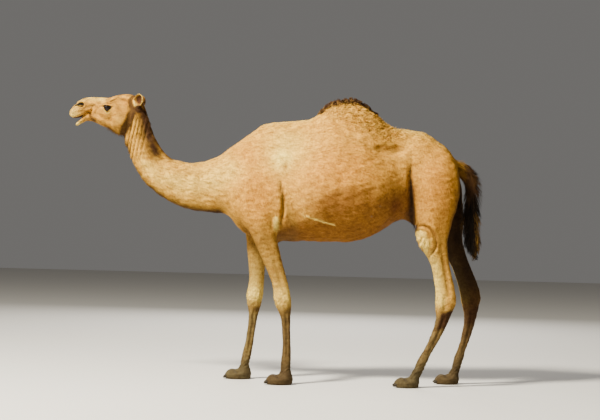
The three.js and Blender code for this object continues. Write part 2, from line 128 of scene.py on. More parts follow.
def cast_of(nodes, name, grain):
    """One closed mesh made of merged copies of these solids, in faces of one size."""
    take(*[frame["nodes"][node] for node in nodes])
    bpy.ops.object.duplicate()
    bpy.ops.object.parent_clear(type="CLEAR_KEEP_TRANSFORM")
    bpy.ops.object.join()
    cast = made_here(name)
    for key in list(cast.keys()):
        del cast[key]
    cast.data.materials.clear()
    edit()
    pick()
    bpy.ops.mesh.remove_doubles(threshold=1e-5)
    edit(False)
    take(cast)
    step = cast.modifiers.new("remesh", "REMESH")
    step.mode, step.voxel_size = "VOXEL", grain
    bpy.ops.object.modifier_apply(modifier=step.name)
    return cast


def read(rows, key, width, kind=np.float32):
    """One property of every vertex, edge or face of a mesh, as rows of numbers."""
    flat = np.empty(len(rows) * width, kind)
    rows.foreach_get(key, flat)
    return flat.reshape(-1, width)


def points_of(thing):
    return read(thing.data.vertices, "co", 3).astype(float)


def outward(thing):
    return read(thing.data.vertex_normals, "vector", 3).astype(float)


def set_points(thing, points):
    thing.data.vertices.foreach_set("co", points.astype(np.float32).ravel())
    thing.data.update()


def paint_value(thing, key, values):
    thing.data.attributes.new(key, "FLOAT", "POINT").data.foreach_set("value", values.astype(np.float32))


# ------------------------------------------------------------------ sums
def mm(rows):
    return np.array(rows, float) / 1000


def lengths(rows):
    return np.linalg.norm(rows, axis=-1)


def unit(rows, least=0.0):
    return rows / (lengths(rows)[:, None] + least)


def most(*shares):
    return np.maximum.reduce(shares)


def above(value, low, high):
    """0 below "low", 1 above "high", eased between."""
    share = np.clip((value - low) / (high - low), 0, 1)
    return share * share * (3 - 2 * share)


def between(value, low, full, fade, high):
    """1 from "full" to "fade", eased to 0 at "low" and "high"."""
    return above(value, low, full) * (1 - above(value, fade, high))


def bell(value, middle, width):
    return np.exp(-((value - middle) / width) ** 2)


def near(points, at, reach):
    """1 at a place, fading to 0 past "reach" from it, on both sides of the body alike."""
    place = mm(at)
    far = points - place
    if place[1] > 0:
        far[:, 1] = np.abs(points[:, 1]) - place[1]
    far = lengths(far / mm(reach))
    return np.exp(-far * far)


def spots(points, *rows):
    """The most of several places: rows of (x, y, z, reach along each, strength)."""
    return most(*[row[6] * near(points, row[:3], row[3:6]) for row in rows])


def curve_through(corners, steps=6):
    """Rows of numbers eased through the given rows (Catmull-Rom)."""
    rows = np.array(corners, float)
    full = np.vstack([2 * rows[0] - rows[1], rows, 2 * rows[-1] - rows[-2]])
    made = []
    for k in range(len(rows) - 1):
        a, b, c, d = full[k:k + 4]
        for t in np.arange(steps) / steps:
            made.append(0.5 * (2 * b + (c - a) * t + (2 * a - 5 * b + 4 * c - d) * t * t
                               + (3 * b - a - 3 * c + d) * t ** 3))
    return np.vstack([made, rows[-1:]])


def by_line(points, corners):
    """How far each point is from a line drawn on the side view, and the line's other columns there."""
    line = curve_through(corners)
    flat = points[:, (0, 2)]
    nearest = np.full(len(points), np.inf)
    index = np.zeros(len(points), int)
    for k in range(len(line) - 1):
        a, b = line[k, :2], line[k + 1, :2]
        share = np.clip(((flat - a) @ (b - a)) / max((b - a) @ (b - a), 1e-12), 0, 1)
        far = lengths(flat - (a + share[:, None] * (b - a)))
        closer = far < nearest
        nearest[closer] = far[closer]
        index[closer] = k
    return nearest, line[index, 2:].T


def line_share(points, *corners):
    """1 on a drawn line of rows (x, z, width), fading out at its width."""
    far, (width,) = by_line(points, mm(corners))
    return bell(far, 0, width)


def waves(points, size, seed, stretch=(1, 1, 1)):
    """A soft random swell between about -1 and 1, with waves about "size" long, and which way it climbs."""
    turn = np.random.default_rng(seed)
    height, climb = np.zeros(len(points)), np.zeros((len(points), 3))
    for _ in range(7):
        way = turn.normal(size=3)
        way *= turn.uniform(0.7, 1.4) / np.linalg.norm(way) * 2 * math.pi / size
        way /= stretch
        phase = points @ way + turn.uniform(0, 6.28)
        height += np.sin(phase)
        climb += np.cos(phase)[:, None] * way
    return height / 3.2, climb / 3.2


def ripple(points, size, seed, stretch=(1, 1, 1)):
    return waves(points, size, seed, stretch)[0]


# ------------------------------------------------------------------ where each leg's bones run
JOINTS = {  # x, distance from the middle plane and z of each joint, from the top down to the foot
    ("left", "fore"): [(15, 78, 1650), (-110, 128, 1300), (-92, 148, 1075), (60, 156, 570), (92, 161, 150),
                       (88, 167, 78)],
    ("right", "fore"): [(15, 78, 1650), (-115, 128, 1300), (-128, 148, 1075), (-141, 156, 575), (-190, 161, 150),
                        (-214, 167, 78)],
    ("left", "hind"): [(1050, 84, 1650), (1075, 122, 1440), (1072, 146, 1058), (1160, 140, 567), (1028, 152, 195),
                       (968, 160, 86)],
    ("right", "hind"): [(1055, 84, 1650), (1088, 122, 1440), (1195, 146, 1058), (1366, 140, 590), (1304, 152, 195),
                        (1262, 160, 86)],
}


def limb_reading(points, side, pair):
    """For each point: its place down the leg in joints, how far it is ahead of the bones and outside them,
    and 1 where it belongs to this leg."""
    bones = curve_through(mm(JOINTS[side, pair]) * (1, SIDES[side], 1), 10)
    plan = bones[:, (0, 2)]
    index = np.argmin(lengths(points[:, None, (0, 2)] - plan[None]), axis=1)
    down = unit(np.gradient(bones, axis=0))
    ahead_way = np.stack([down[:, 2], -down[:, 0]], axis=1)
    off = points - bones[index]
    step = lengths(np.gradient(plan, axis=0))
    beyond = (off[:, (0, 2)] * down[index][:, (0, 2)]).sum(1) / step[index]
    ahead = (off[:, (0, 2)] * ahead_way[index]).sum(1)
    own = above(-lengths(off * (1, 1, 0.6)), -0.24, -0.16) * (points[:, 1] * SIDES[side] > -0.01)
    return (index + np.clip(beyond, -0.6, 0.6)) / 10, ahead, off[:, 1] * SIDES[side], own


# ------------------------------------------------------------------ the skin
NECK_CUT = Vector((-0.975, 0, 1.685))
NECK_WAY = Vector((0.656, 0, -0.756)).normalized()
FINE, COARSE = 0.0055, 0.0157  # the grain of the head and of the body
EYE, EYE_SIZE, LID_SPAN = (-1177, 76, 1850), 0.023, 0.0300
EAR = (-965, 73, 1910)
EAR_WAYS = [np.array(way) / np.linalg.norm(way)
            for way in ((-0.88, -0.37, 0.30), (0.19, 0.29, 0.94), (-0.44, 0.88, -0.19))]


def past_neck(x, z):
    """How far a place is past the cut across the neck, below 0 on the head's side."""
    return (x - NECK_CUT.x) * NECK_WAY.x + (z - NECK_CUT.z) * NECK_WAY.z


def eye_middle(side):
    return mm((EYE[0], EYE[1] * SIDES[side], EYE[2]))


def eye_axes(side):
    """The way that the eye looks, the way along the lids to their front corner, and the way up."""
    look = Vector((-0.20, SIDES[side], 0.04)).normalized()
    ahead = (Vector((-1, 0, 0.06)) - look * look.dot(Vector((-1, 0, 0.06)))).normalized()
    return np.array(look), np.array(ahead), np.array(look.cross(ahead)) * SIDES[side]


def lid_lines(s):
    """The heights of the upper and the lower lid's edge along the eye: nearly flat above, pointed below."""
    span = np.clip((s - 0.001) / LID_SPAN, -1, 1)
    tilt = 0.0095 + 0.0015 * span
    upper = tilt + 0.0055 * (1 - np.abs(span) ** 4) ** 0.8
    lower = tilt - 0.0305 * (1 - np.abs(span + 0.10) ** 1.3)
    return upper, np.minimum(lower, tilt), tilt


def eye_gap(points, side):
    """How far each point is inside the opening of the lids, below 0 outside it, and its place before the eye."""
    look, ahead, up = eye_axes(side)
    off = points - eye_middle(side)
    s, t = off @ ahead, off @ up
    upper, lower, tilt = lid_lines(s)
    inside = np.minimum(upper - t, t - lower) * 0.85
    beyond = np.abs(s - 0.001) - LID_SPAN
    inside = np.where(beyond > 0, -np.hypot(np.maximum(beyond, 0), t - tilt), inside)
    return inside, off @ look, t


def sliced(thing, at, keep_head):
    """Cut square across the neck, one side kept open."""
    take(thing)
    edit()
    pick()
    bpy.ops.mesh.bisect(plane_co=at, plane_no=NECK_WAY, clear_outer=keep_head, clear_inner=not keep_head)
    pick()
    bpy.ops.mesh.remove_doubles(threshold=0.0006)
    pick("DESELECT", "EDGE")
    edit(False)


def open_form():
    """The flesh in one closed mesh, fine on the head and coarser behind the neck's cut."""
    head = cast_of(HEAD_FLESH, "head_form", FINE)
    sliced(head, NECK_CUT, True)
    body = cast_of(BODY_FLESH, "skin", COARSE)
    sliced(body, NECK_CUT + NECK_WAY * 0.01, False)
    take(body, head)
    bpy.ops.object.join()
    edit()
    bpy.ops.mesh.select_mode(type="EDGE")
    pick("DESELECT")
    bpy.ops.mesh.select_non_manifold()
    bpy.ops.mesh.bridge_edge_loops()
    bpy.ops.mesh.select_mode(type="VERT")
    edit(False)
    return body


class Clay:
    """The skin while it is shaped."""

    def __init__(self, thing):
        self.thing = thing
        self.again()

    def again(self):
        self.points, self.out = points_of(self.thing), outward(self.thing)
        self.edges = read(self.thing.data.edges, "vertices", 2, np.int32)
        self.count = np.bincount(self.edges.ravel(), minlength=len(self.points)).astype(float)

    def around(self, values):
        """The mean of each point's neighbours."""
        one, two = self.edges.T
        total = np.empty_like(values)
        for column in range(values.shape[1]):
            total[:, column] = np.bincount(one, values[two, column], len(values))
            total[:, column] += np.bincount(two, values[one, column], len(values))
        return total / self.count[:, None]

    def eased(self, values, share, rounds):
        for _ in range(rounds):
            values = values + share[:, None] * (self.around(values) - values)
        return values

    def soften(self, reach, rounds=60, again=2):
        """Evens out what is smaller than "reach" metres, and keeps the size of what is larger."""
        one, two = self.edges.T
        length = lengths(self.points[one] - self.points[two])
        step = (np.bincount(one, length, len(self.points)) + np.bincount(two, length, len(self.points))) / self.count
        share = np.clip(2 * (reach / step) ** 2 / rounds, 0, 0.75)
        first = self.points
        done = self.eased(first, share, rounds)
        for _ in range(again):
            done = done + self.eased(first - done, share, rounds)
        self.points = done
        self.settle()

    def settle(self):
        set_points(self.thing, self.points)
        self.out = outward(self.thing)

    def finer(self, *places):
        """Splits the faces near these places (x, y, z, reach)."""
        middles = read(self.thing.data.polygons, "center", 3).astype(float)
        chosen = np.zeros(len(middles), bool)
        for px, py, pz, reach in mm(places):
            off = middles - (px, py, pz)
            off[:, 1] = np.abs(middles[:, 1]) - py
            chosen |= lengths(off) < reach
        take(self.thing)
        mesh = self.thing.data
        mesh.vertices.foreach_set("select", np.zeros(len(mesh.vertices), bool))
        mesh.edges.foreach_set("select", np.zeros(len(mesh.edges), bool))
        mesh.polygons.foreach_set("select", chosen)
        edit()
        bpy.ops.mesh.select_mode(type="FACE")
        bpy.ops.mesh.subdivide(number_cuts=1, smoothness=0)
        edit(False)
        self.again()

    def rise(self, height):
        self.points = self.points + self.out * height[:, None]

    def shift(self, way, far):
        self.points = self.points + np.array(way) * far[:, None]

    def press(self, *lines):
        """Drawn hollows on both sides: rows of (x, z, width, depth). A depth below 0 is a ridge."""
        for line in lines:
            far, (width, depth) = by_line(self.points, mm(line))
            self.rise(-depth * bell(far, 0, width) * (self.points[:, 1] != 0))

    def swell(self, at, reach, height):
        self.rise(near(self.points, at, reach) * (height / 1000))


skin = open_form()
clay = Clay(skin)
x, y, z = clay.points.T
leg_part = 1 - above(z, 0.88, 1.10)
tail_part = above(x, 1.24, 1.30) * above(z, 0.7, 0.9)
head_part = 1 - above(past_neck(x, z), -0.10, 0.06)
fine_part = spots(clay.points, (-1350, 0, 1800, 100, 200, 50, 1), (-970, 60, 1910, 60, 60, 60, 1))
reach = 0.042 * (1 - leg_part) + 0.013 * leg_part
for part, part_reach in ((tail_part, 0.012), (head_part, 0.013 * (1 - fine_part) + 0.005 * fine_part)):
    reach = reach * (1 - part) + part_reach * part
clay.soften(reach)

clay.finer((-990, 0, 1600, 150), (990, 190, 990, 130), (10, 200, 1120, 130), (910, 170, 1200, 90), (910, 170, 1320, 90),
           *[(px, 150, pz, 170) for px, pz in ((30, 60), (70, 280), (60, 500), (20, 680), (-250, 60), (-180, 280),
                                               (-140, 500), (-130, 680), (930, 60), (1030, 280), (1130, 500),
                                               (1120, 720), (1220, 60), (1300, 280), (1340, 500), (1290, 720))])
clay.finer((990, 190, 990, 90), (*EAR, 50))
clay.finer((*EYE, 46), (-1375, 45, 1872, 40), (-1360, 30, 1790, 40), (-1300, 45, 1815, 30))
clay.finer((*EYE, 33))
READINGS = {leg: limb_reading(clay.points, *leg) for leg in LEGS}


def ear_reading(points, side):
    """Each point's place in an ear: across its cup, up it, and out of its mouth."""
    off = (points - mm((EAR[0], EAR[1] * SIDES[side], EAR[2]))) * (1, SIDES[side], 1)
    return [off @ way for way in EAR_WAYS]


def in_ears(points, share):
    """A share worked out from the place in each ear, the most of both."""
    return most(*[share(*ear_reading(points, side)) for side in SIDES])


def hollow_ear(side):
    across, up, out = ear_reading(clay.points, side)
    mouth = (-0.44, 0.88 * SIDES[side], -0.19)
    here = (np.abs(out) < 0.03) * above(up, -0.040, -0.026)
    round_share = np.clip(1 - (across / 0.034) ** 2 - ((up - 0.004) / 0.046) ** 2, 0, 1)
    clay.shift(mouth, -0.0105 * round_share * here)
    rim = bell(np.hypot(across / 0.034, (up - 0.004) / 0.045), 1, 0.13) * above(out, -0.012, 0.0)
    clay.shift(mouth, 0.004 * rim * above(up, -0.03, -0.01))
    edge = above(np.hypot(across / 0.036, (up - 0.002) / 0.047), 0.62, 0.85) * (np.abs(out) < 0.035)
    clay.points = clay.eased(clay.points, 0.5 * edge * above(up, -0.035, -0.020), 9)


def open_eye(side):
    """Lids that hug the eyeball, with an opening in front of it."""
    inside, forth, t = eye_gap(clay.points, side)
    off = clay.points - eye_middle(side)
    far = lengths(off)
    here = (far < 0.065) & (forth > -0.004)
    lid = EYE_SIZE + 0.0030 + 0.0022 * above(t, 0.009, 0.017)
    hug = bell(np.maximum(-inside, 0), 0, 0.0085) * above(forth, -0.002, 0.010)
    reach = far + (lid - far) * hug
    reach = np.where(inside > -0.0200, np.maximum(reach, lid * hug), reach)
    sunk = above(inside, -0.0004, 0.0014)
    reach = reach * (1 - sunk) + (EYE_SIZE - 0.005) * sunk
    moved = eye_middle(side) + off / np.maximum(far, 1e-6)[:, None] * reach[:, None]
    clay.points = np.where(here[:, None], moved, clay.points)


for side in SIDES:
    open_eye(side)
    hollow_ear(side)
clay.settle()
# folds over and under the lids, the tear groove and the brow
clay.press([(-1222, 1872, 3.5, 1), (-1200, 1880, 3.5, 3.5), (-1177, 1881, 3.5, 4), (-1152, 1876, 3.5, 3),
            (-1136, 1868, 3.5, 0.5)],
           [(-1215, 1852, 3, 0.5), (-1198, 1831, 3, 2.2), (-1176, 1818, 3, 2.8), (-1154, 1828, 3, 2.2),
            (-1140, 1848, 3, 0.5)],
           [(-1207, 1866, 4, 2), (-1224, 1858, 4, 3.5), (-1244, 1846, 5, 1)])
clay.swell((-1172, 80, 1900), (50, 40, 14), 6)
# the slit of the nostril, its rims and its flap
clay.press([(-1414, 1868, 5, 0), (-1402, 1872, 8.5, 16), (-1386, 1876, 10.5, 24), (-1366, 1879, 10, 22),
            (-1348, 1878, 6, 12), (-1345, 1864, 5, 9), (-1355, 1857, 4.5, 5), (-1368, 1856, 4, 2)],
           [(-1410, 1880, 6, -0.5), (-1388, 1893, 6, -3.5), (-1362, 1895, 6, -3.5), (-1340, 1884, 6, -2.5),
            (-1337, 1864, 6, -1)],
           [(-1402, 1862, 6, -1), (-1385, 1868, 6, -4.5), (-1368, 1869, 6, -3.5)])
clay.settle()
# the cleft of the upper lip
x, y, z = clay.points.T
front = (np.abs(y) < 0.02) & (x < -1.38) & (z > 1.775)
clay.shift((1.0, 0, 0.2), 0.008 * bell(y, 0, 0.0035) * above(-z, -1.865, -1.835) * front)
# the corner of the mouth, the cheek, the nose, the lips, the jaw's edge, the throat
clay.press([(-1315, 1822, 5, 0), (-1300, 1827, 5, 6), (-1286, 1834, 5, 6), (-1272, 1846, 6, 2)],
           [(-1270, 1868, 8, 1), (-1286, 1848, 7, 6), (-1298, 1822, 8, 9), (-1296, 1795, 9, 8), (-1280, 1768, 10, 2)],
           [(-1262, 1850, 12, -3), (-1272, 1820, 12, -6), (-1268, 1790, 12, -4)],
           [(-1350, 1850, 8, 1), (-1325, 1853, 8, 6), (-1300, 1860, 9, 6), (-1272, 1871, 10, 2)],
           [(-1345, 1836, 8, -1), (-1325, 1838, 9, -4), (-1300, 1846, 9, -4)],
           [(-1432, 1805, 7, 0), (-1405, 1812, 8, 2.5), (-1370, 1822, 8, 3), (-1335, 1836, 8, 1)],
           [(-1446, 1800, 8, -1), (-1420, 1793, 9, -4), (-1385, 1795, 9, -4), (-1345, 1812, 8, -2)],
           [(-1300, 1800, 10, -1), (-1262, 1790, 12, -4), (-1215, 1765, 14, -4), (-1170, 1735, 14, -2)],
           [(-1130, 1845, 14, 1), (-1140, 1800, 16, 4), (-1160, 1765, 16, 5), (-1150, 1725, 14, 3)],
           [(-1020, 1900, 16, 1), (-1022, 1840, 18, 7), (-1030, 1760, 20, 10), (-1050, 1700, 20, 8),
            (-1085, 1655, 18, 5)])
clay.swell((-1095, 75, 1775), (45, 50, 60), 6)
clay.press([(-1235, 1872, 12, -2), (-1285, 1885, 14, -4), (-1335, 1893, 12, -2)])
clay.settle()

# combed ridges down the upper neck
RIDGES = (-22, 4, 30, 58, 88)
clay.press(*[[(-975 + dx, 1800, 6, 1), (-992 + dx, 1720, 6, 7), (-1020 + dx, 1600, 6, 6.5), (-1040 + dx, 1500, 6, 0.5)]
             for dx in RIDGES])
clay.settle()

# the withers round over
clay.swell((-50, 0, 1780), (240, 140, 100), 17)
clay.swell((-45, 0, 1800), (100, 120, 80), 13)
clay.points = clay.eased(clay.points, 0.75 * near(clay.points, (-70, 0, 1800), (160, 300, 120)), 26)
clay.settle()
# small unevenness of the flesh and of the knees
loose = (1 - above(-clay.points[:, 0], 0.95, 1.05)) * above(clay.points[:, 2], 0.80, 1.0)
clay.rise(loose * (0.0030 * ripple(clay.points, 0.20, 31) + 0.0016 * ripple(clay.points, 0.09, 32)))
rough_knee = spots(clay.points, *[(JOINTS[leg][3][0], 150, 565, 60, 80, 75, 1) for leg in LEGS])
clay.rise(rough_knee * (0.0036 * ripple(clay.points, 0.040, 33) + 0.0032 * ripple(clay.points, 0.024, 34)))
clay.settle()

# body folds: behind the elbow, in the flank, under the hump's rear and before the chest
clay.press([(10, 1400, 18, 0), (24, 1347, 14, 14), (40, 1280, 13, 24), (48, 1213, 13, 26), (43, 1145, 13, 20),
            (30, 1080, 14, 4)],
           [(45, 1314, 30, 0), (88, 1214, 30, 8), (139, 1101, 30, 9), (182, 1000, 30, 4)],
           [(885, 1620, 30, 0), (905, 1520, 22, 12), (908, 1405, 18, 26), (914, 1270, 17, 28), (926, 1150, 18, 20),
            (945, 1090, 20, 0)],
           [(450, 1700, 50, 0), (548, 1655, 36, 8), (630, 1620, 36, 11), (720, 1599, 36, 12), (800, 1602, 34, 11),
            (860, 1622, 30, 9), (900, 1650, 28, 3)],
           [(550, 1700, 40, -5), (660, 1660, 33, -10), (780, 1648, 33, -10), (870, 1670, 33, -4)],
           [(600, 1570, 30, -2), (720, 1545, 30, -6), (830, 1550, 30, -4)],
           [(-405, 1238, 20, 0), (-363, 1185, 16, 7), (-325, 1131, 16, 4)],
           [(-360, 1260, 30, 0), (-330, 1200, 20, 5), (-290, 1140, 20, 2)])
clay.settle()

# the bare pads and their folds: stifle, elbow
pad = near(clay.points, (985, 200, 1000), (50, 100, 75))
clay.rise(pad * (0.008 + 0.0035 * ripple(clay.points, 0.034, 41, (0.7, 1, 1.4))))
clay.press([(930, 1085, 10, 3), (965, 1098, 8, 11), (1010, 1096, 8, 13), (1055, 1062, 8, 11), (1082, 1010, 8, 8),
            (1086, 955, 8, 10), (1060, 905, 9, 4)],
           [(945, 1062, 6, 1), (985, 1068, 6, 6), (1025, 1048, 6, 7), (1048, 1005, 6, 6), (1050, 960, 6, 1)],
           [(975, 1030, 5, 1), (998, 1022, 5, 5), (1014, 990, 5, 5), (1012, 945, 6, 1)],
           [(958, 1005, 5, 1), (978, 985, 5, 4), (992, 950, 5, 3), (1010, 915, 6, 1)],
           [(1000, 1118, 12, -2), (1068, 1088, 13, -7), (1108, 1010, 13, -5), (1100, 930, 13, -2)])
clay.swell((4, 210, 1092), (22, 80, 48), 12)
clay.press([(-24, 1135, 7, 1), (-28, 1092, 7, 6), (-18, 1045, 7, 3), (6, 1030, 7, 1)])
clay.settle()

# tendons and hollows of the legs: rows of (joints down, mm ahead of the bones, width, depth)
HOLLOWS = {
    "fore": [[(2.10, -12, 20, 0), (2.40, -14, 17, 7), (2.75, -18, 14, 11), (2.93, -24, 13, 3)],
             [(1.90, 34, 24, 1), (2.30, 26, 20, 6), (2.60, 18, 18, 2)],
             [(2.86, 16, 12, 4), (2.97, 2, 12, 6), (3.06, 14, 12, 4)],
             [(2.80, 30, 16, -3), (2.95, 24, 18, -6), (3.05, 20, 14, -3)]],
    "hind": [[(2.00, -32, 24, 2), (2.30, -36, 22, 13), (2.60, -30, 18, 18), (2.86, -28, 15, 10)],
             [(2.05, 20, 26, 1), (2.40, 6, 22, 8), (2.75, 4, 18, 4)],
             [(2.90, 4, 14, 4), (3.02, -4, 14, 7), (3.12, 6, 14, 3)],
             [(2.90, 28, 18, -3), (3.00, 22, 18, -5), (3.10, 18, 16, -2)]],
}
CANNON = [[(3.12, -8, 10, 2), (3.25, -10, 10, 7), (3.70, -10, 10, 6), (3.95, -6, 11, 2)],
          [(3.20, 10, 11, -2), (3.50, 9, 10, -4), (3.85, 8, 10, -2)]]
for leg, (at, ahead, _, own) in READINGS.items():
    flat = np.stack([at * 0.3, 0 * at, ahead], axis=1)
    for face, lines in ((1, HOLLOWS[leg[1]] + CANNON), (-1, CANNON)):
        facing = above(clay.out[:, 1] * SIDES[leg[0]] * face, 0.0, 0.5)
        for line in lines:
            far, (width, depth) = by_line(flat, np.array(line) / (1, 1000, 1000, 1000) * (0.3, 1, 1, 1))
            clay.rise(-depth * bell(far, 0, width) * facing * own)
clay.settle()

# feet: the cleft between the toes, the edge of the sole, creases above it, low tops and full toes
for foot in [node for node in LEG_FLESH if "foot" in node]:
    low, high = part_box(foot)
    x, y, z = clay.points.T
    tip, broad, centre = low.x, high.y - low.y, (low.y + high.y) / 2
    here = (np.abs(x - (tip + high.x) / 2) < 0.16) & (np.abs(y - centre) < 0.12) & (z < 0.2)
    cleft = 0.016 * bell(y, centre, 0.009) * above(-x, -(tip + 0.085), -(tip + 0.01)) * above(z, 0.004, 0.012)
    edge = 0.004 * bell(z, 0.021, 0.005)
    crease = sum(0.0035 * bell(z - level, (x - tip) * 0.25, 0.005) for level in (0.065, 0.090, 0.112))
    clay.rise(-(cleft + edge + crease * above(x, tip + 0.06, tip + 0.12)) * here)
    clay.shift((0, 0, -1), 0.040 * bell(x - tip, 0.100, 0.036) * between(z, 0.030, 0.095, 0.15, 0.19) * here)
    for way in (-1, 1):
        toe = (clay.points - (tip + 0.045, centre + way * broad * 0.22, 0.040)) / (0.045, 0.032, 0.030)
        clay.rise(0.007 * bell(lengths(toe), 0, 1) * here * above(z, 0.006, 0.014))
clay.settle()


# ------------------------------------------------------------------ the coat's depth, markings and painted shade
CREST = [(285, 1872, 22), (306, 1910, 42), (345, 1950, 65), (412, 1974, 70), (481, 1982, 66), (550, 1970, 56),
         (600, 1940, 45), (660, 1885, 30)]
NAPE = [(-1000, 1955, 50), (-925, 1897, 60), (-880, 1767, 60), (-851, 1692, 55), (-821, 1631, 50),
        (-785, 1576, 40), (-736, 1529, 30)]
TAIL = [(1225, 1525, 38), (1270, 1500, 34), (1305, 1467, 28), (1325, 1428, 26), (1335, 1380, 24), (1340, 1319, 22),
        (1346, 1252, 30), (1350, 1190, 38), (1349, 1111, 44), (1355, 1040, 44), (1362, 972, 37), (1374, 906, 26),
        (1389, 867, 12)]
THROAT = [(-1175, 1715, 20), (-1120, 1668, 35), (-1080, 1640, 35), (-1045, 1560, 30)]
MARKS = ["umber", "pale", "tawny", "flush", "dust", "mud", "ink", "brown"]


def woolly(points):
    """1 on the hump and the loin, where the coat curls."""
    return np.clip(spots(points, (620, 100, 1820, 170, 240, 110, 1), (740, 120, 1730, 130, 240, 70, 0.9),
                         (450, 100, 1880, 170, 200, 80, 0.8)), 0, 1)


def on_tail(points):
    """1 on the tail, fading where it leaves the rump."""
    far, (width,) = by_line(points, mm(TAIL))
    x, y, z = points.T
    return above(width - far, -0.016, -0.006) * (np.abs(y) < 0.062) * above(x, 1.225, 1.265) * above(z, 0.80, 0.86)


def leg_marks(add, points, out, leg):
    """The markings of one leg; "add" takes a colour's name and its share."""
    side, pair = leg
    z = points[:, 2]
    at, ahead, outside, own = limb_reading(points, side, pair)
    own = own * (1 - above(z, 1.0, 1.2))
    far = side == "right"
    low = above(at, 2.95, 3.30) * 0.94 + above(at, 3.5, 4.3) * 0.06 + 0.26 * between(at, 1.9, 2.4, 2.95, 3.30)
    grown = above(ripple(points, 0.026, 75, (1, 1, 2.6)), -0.1, 0.7)
    knee = bell(at, 2.96, 0.16)
    add("dust", own * low)
    add("mud", own * above(at, 3.9, 4.7))
    if pair == "fore":
        patchy_knee = (0.35 + 0.5 * above(ripple(points, 0.022, 76), -0.4, 0.4)) * knee
        add("pale", own * (patchy_knee + (0.12 + 0.3 * far) * between(at, 2.2, 2.7, 2.9, 3.2)),
            own * 0.50 * far * between(at, 3.1, 3.3, 3.7, 4.2))
        add("umber", own * 0.75 * bell(at, 3.17, 0.055) * above(-ahead, -0.03, 0.02),
            own * 0.30 * bell(ahead, -0.006, 0.006) * between(at, 3.2, 3.35, 3.6, 4.0),
            # painted shade on the inner side of the upper foreleg, against the chest
            own * 0.60 * above(-outside, -0.01, 0.04) * (1 - above(at, 2.1, 2.5)),
            own * 0.44 * above(at, 1.6, 2.1) * (1 - knee) * (1 - above(at, 3.1, 3.3) * far))
    else:
        inner = above(-out[:, 1] * SIDES[side], -0.1, 0.5)
        add("pale", own * 0.8 * between(at, 2.15, 2.5, 2.95, 3.15) * above(ahead, -0.03, 0.03))
        add("umber", own * above(bell(at - 3.25, ahead, 0.14), 0.05, 0.6) * above(-ahead, -0.036, -0.006),
            # painted shade on the inner face of the hind leg, less of it lower down
            own * 0.92 * inner * (1 - 0.6 * above(at, 3.2, 3.95)),
            own * 0.35 * bell(ahead, -0.032, 0.012) * between(at, 2.1, 2.4, 2.7, 2.9))
    # painted shade: deep red on the inner side of each upper leg
    add("flush", own * 0.5 * above(-outside, 0.0, 0.05) * (1 - low))
    add("umber", own * grown * (0.24 + 0.26 * above(at, 3.0, 3.3)) * between(at, 2.1, 2.4, 4.0, 4.4))


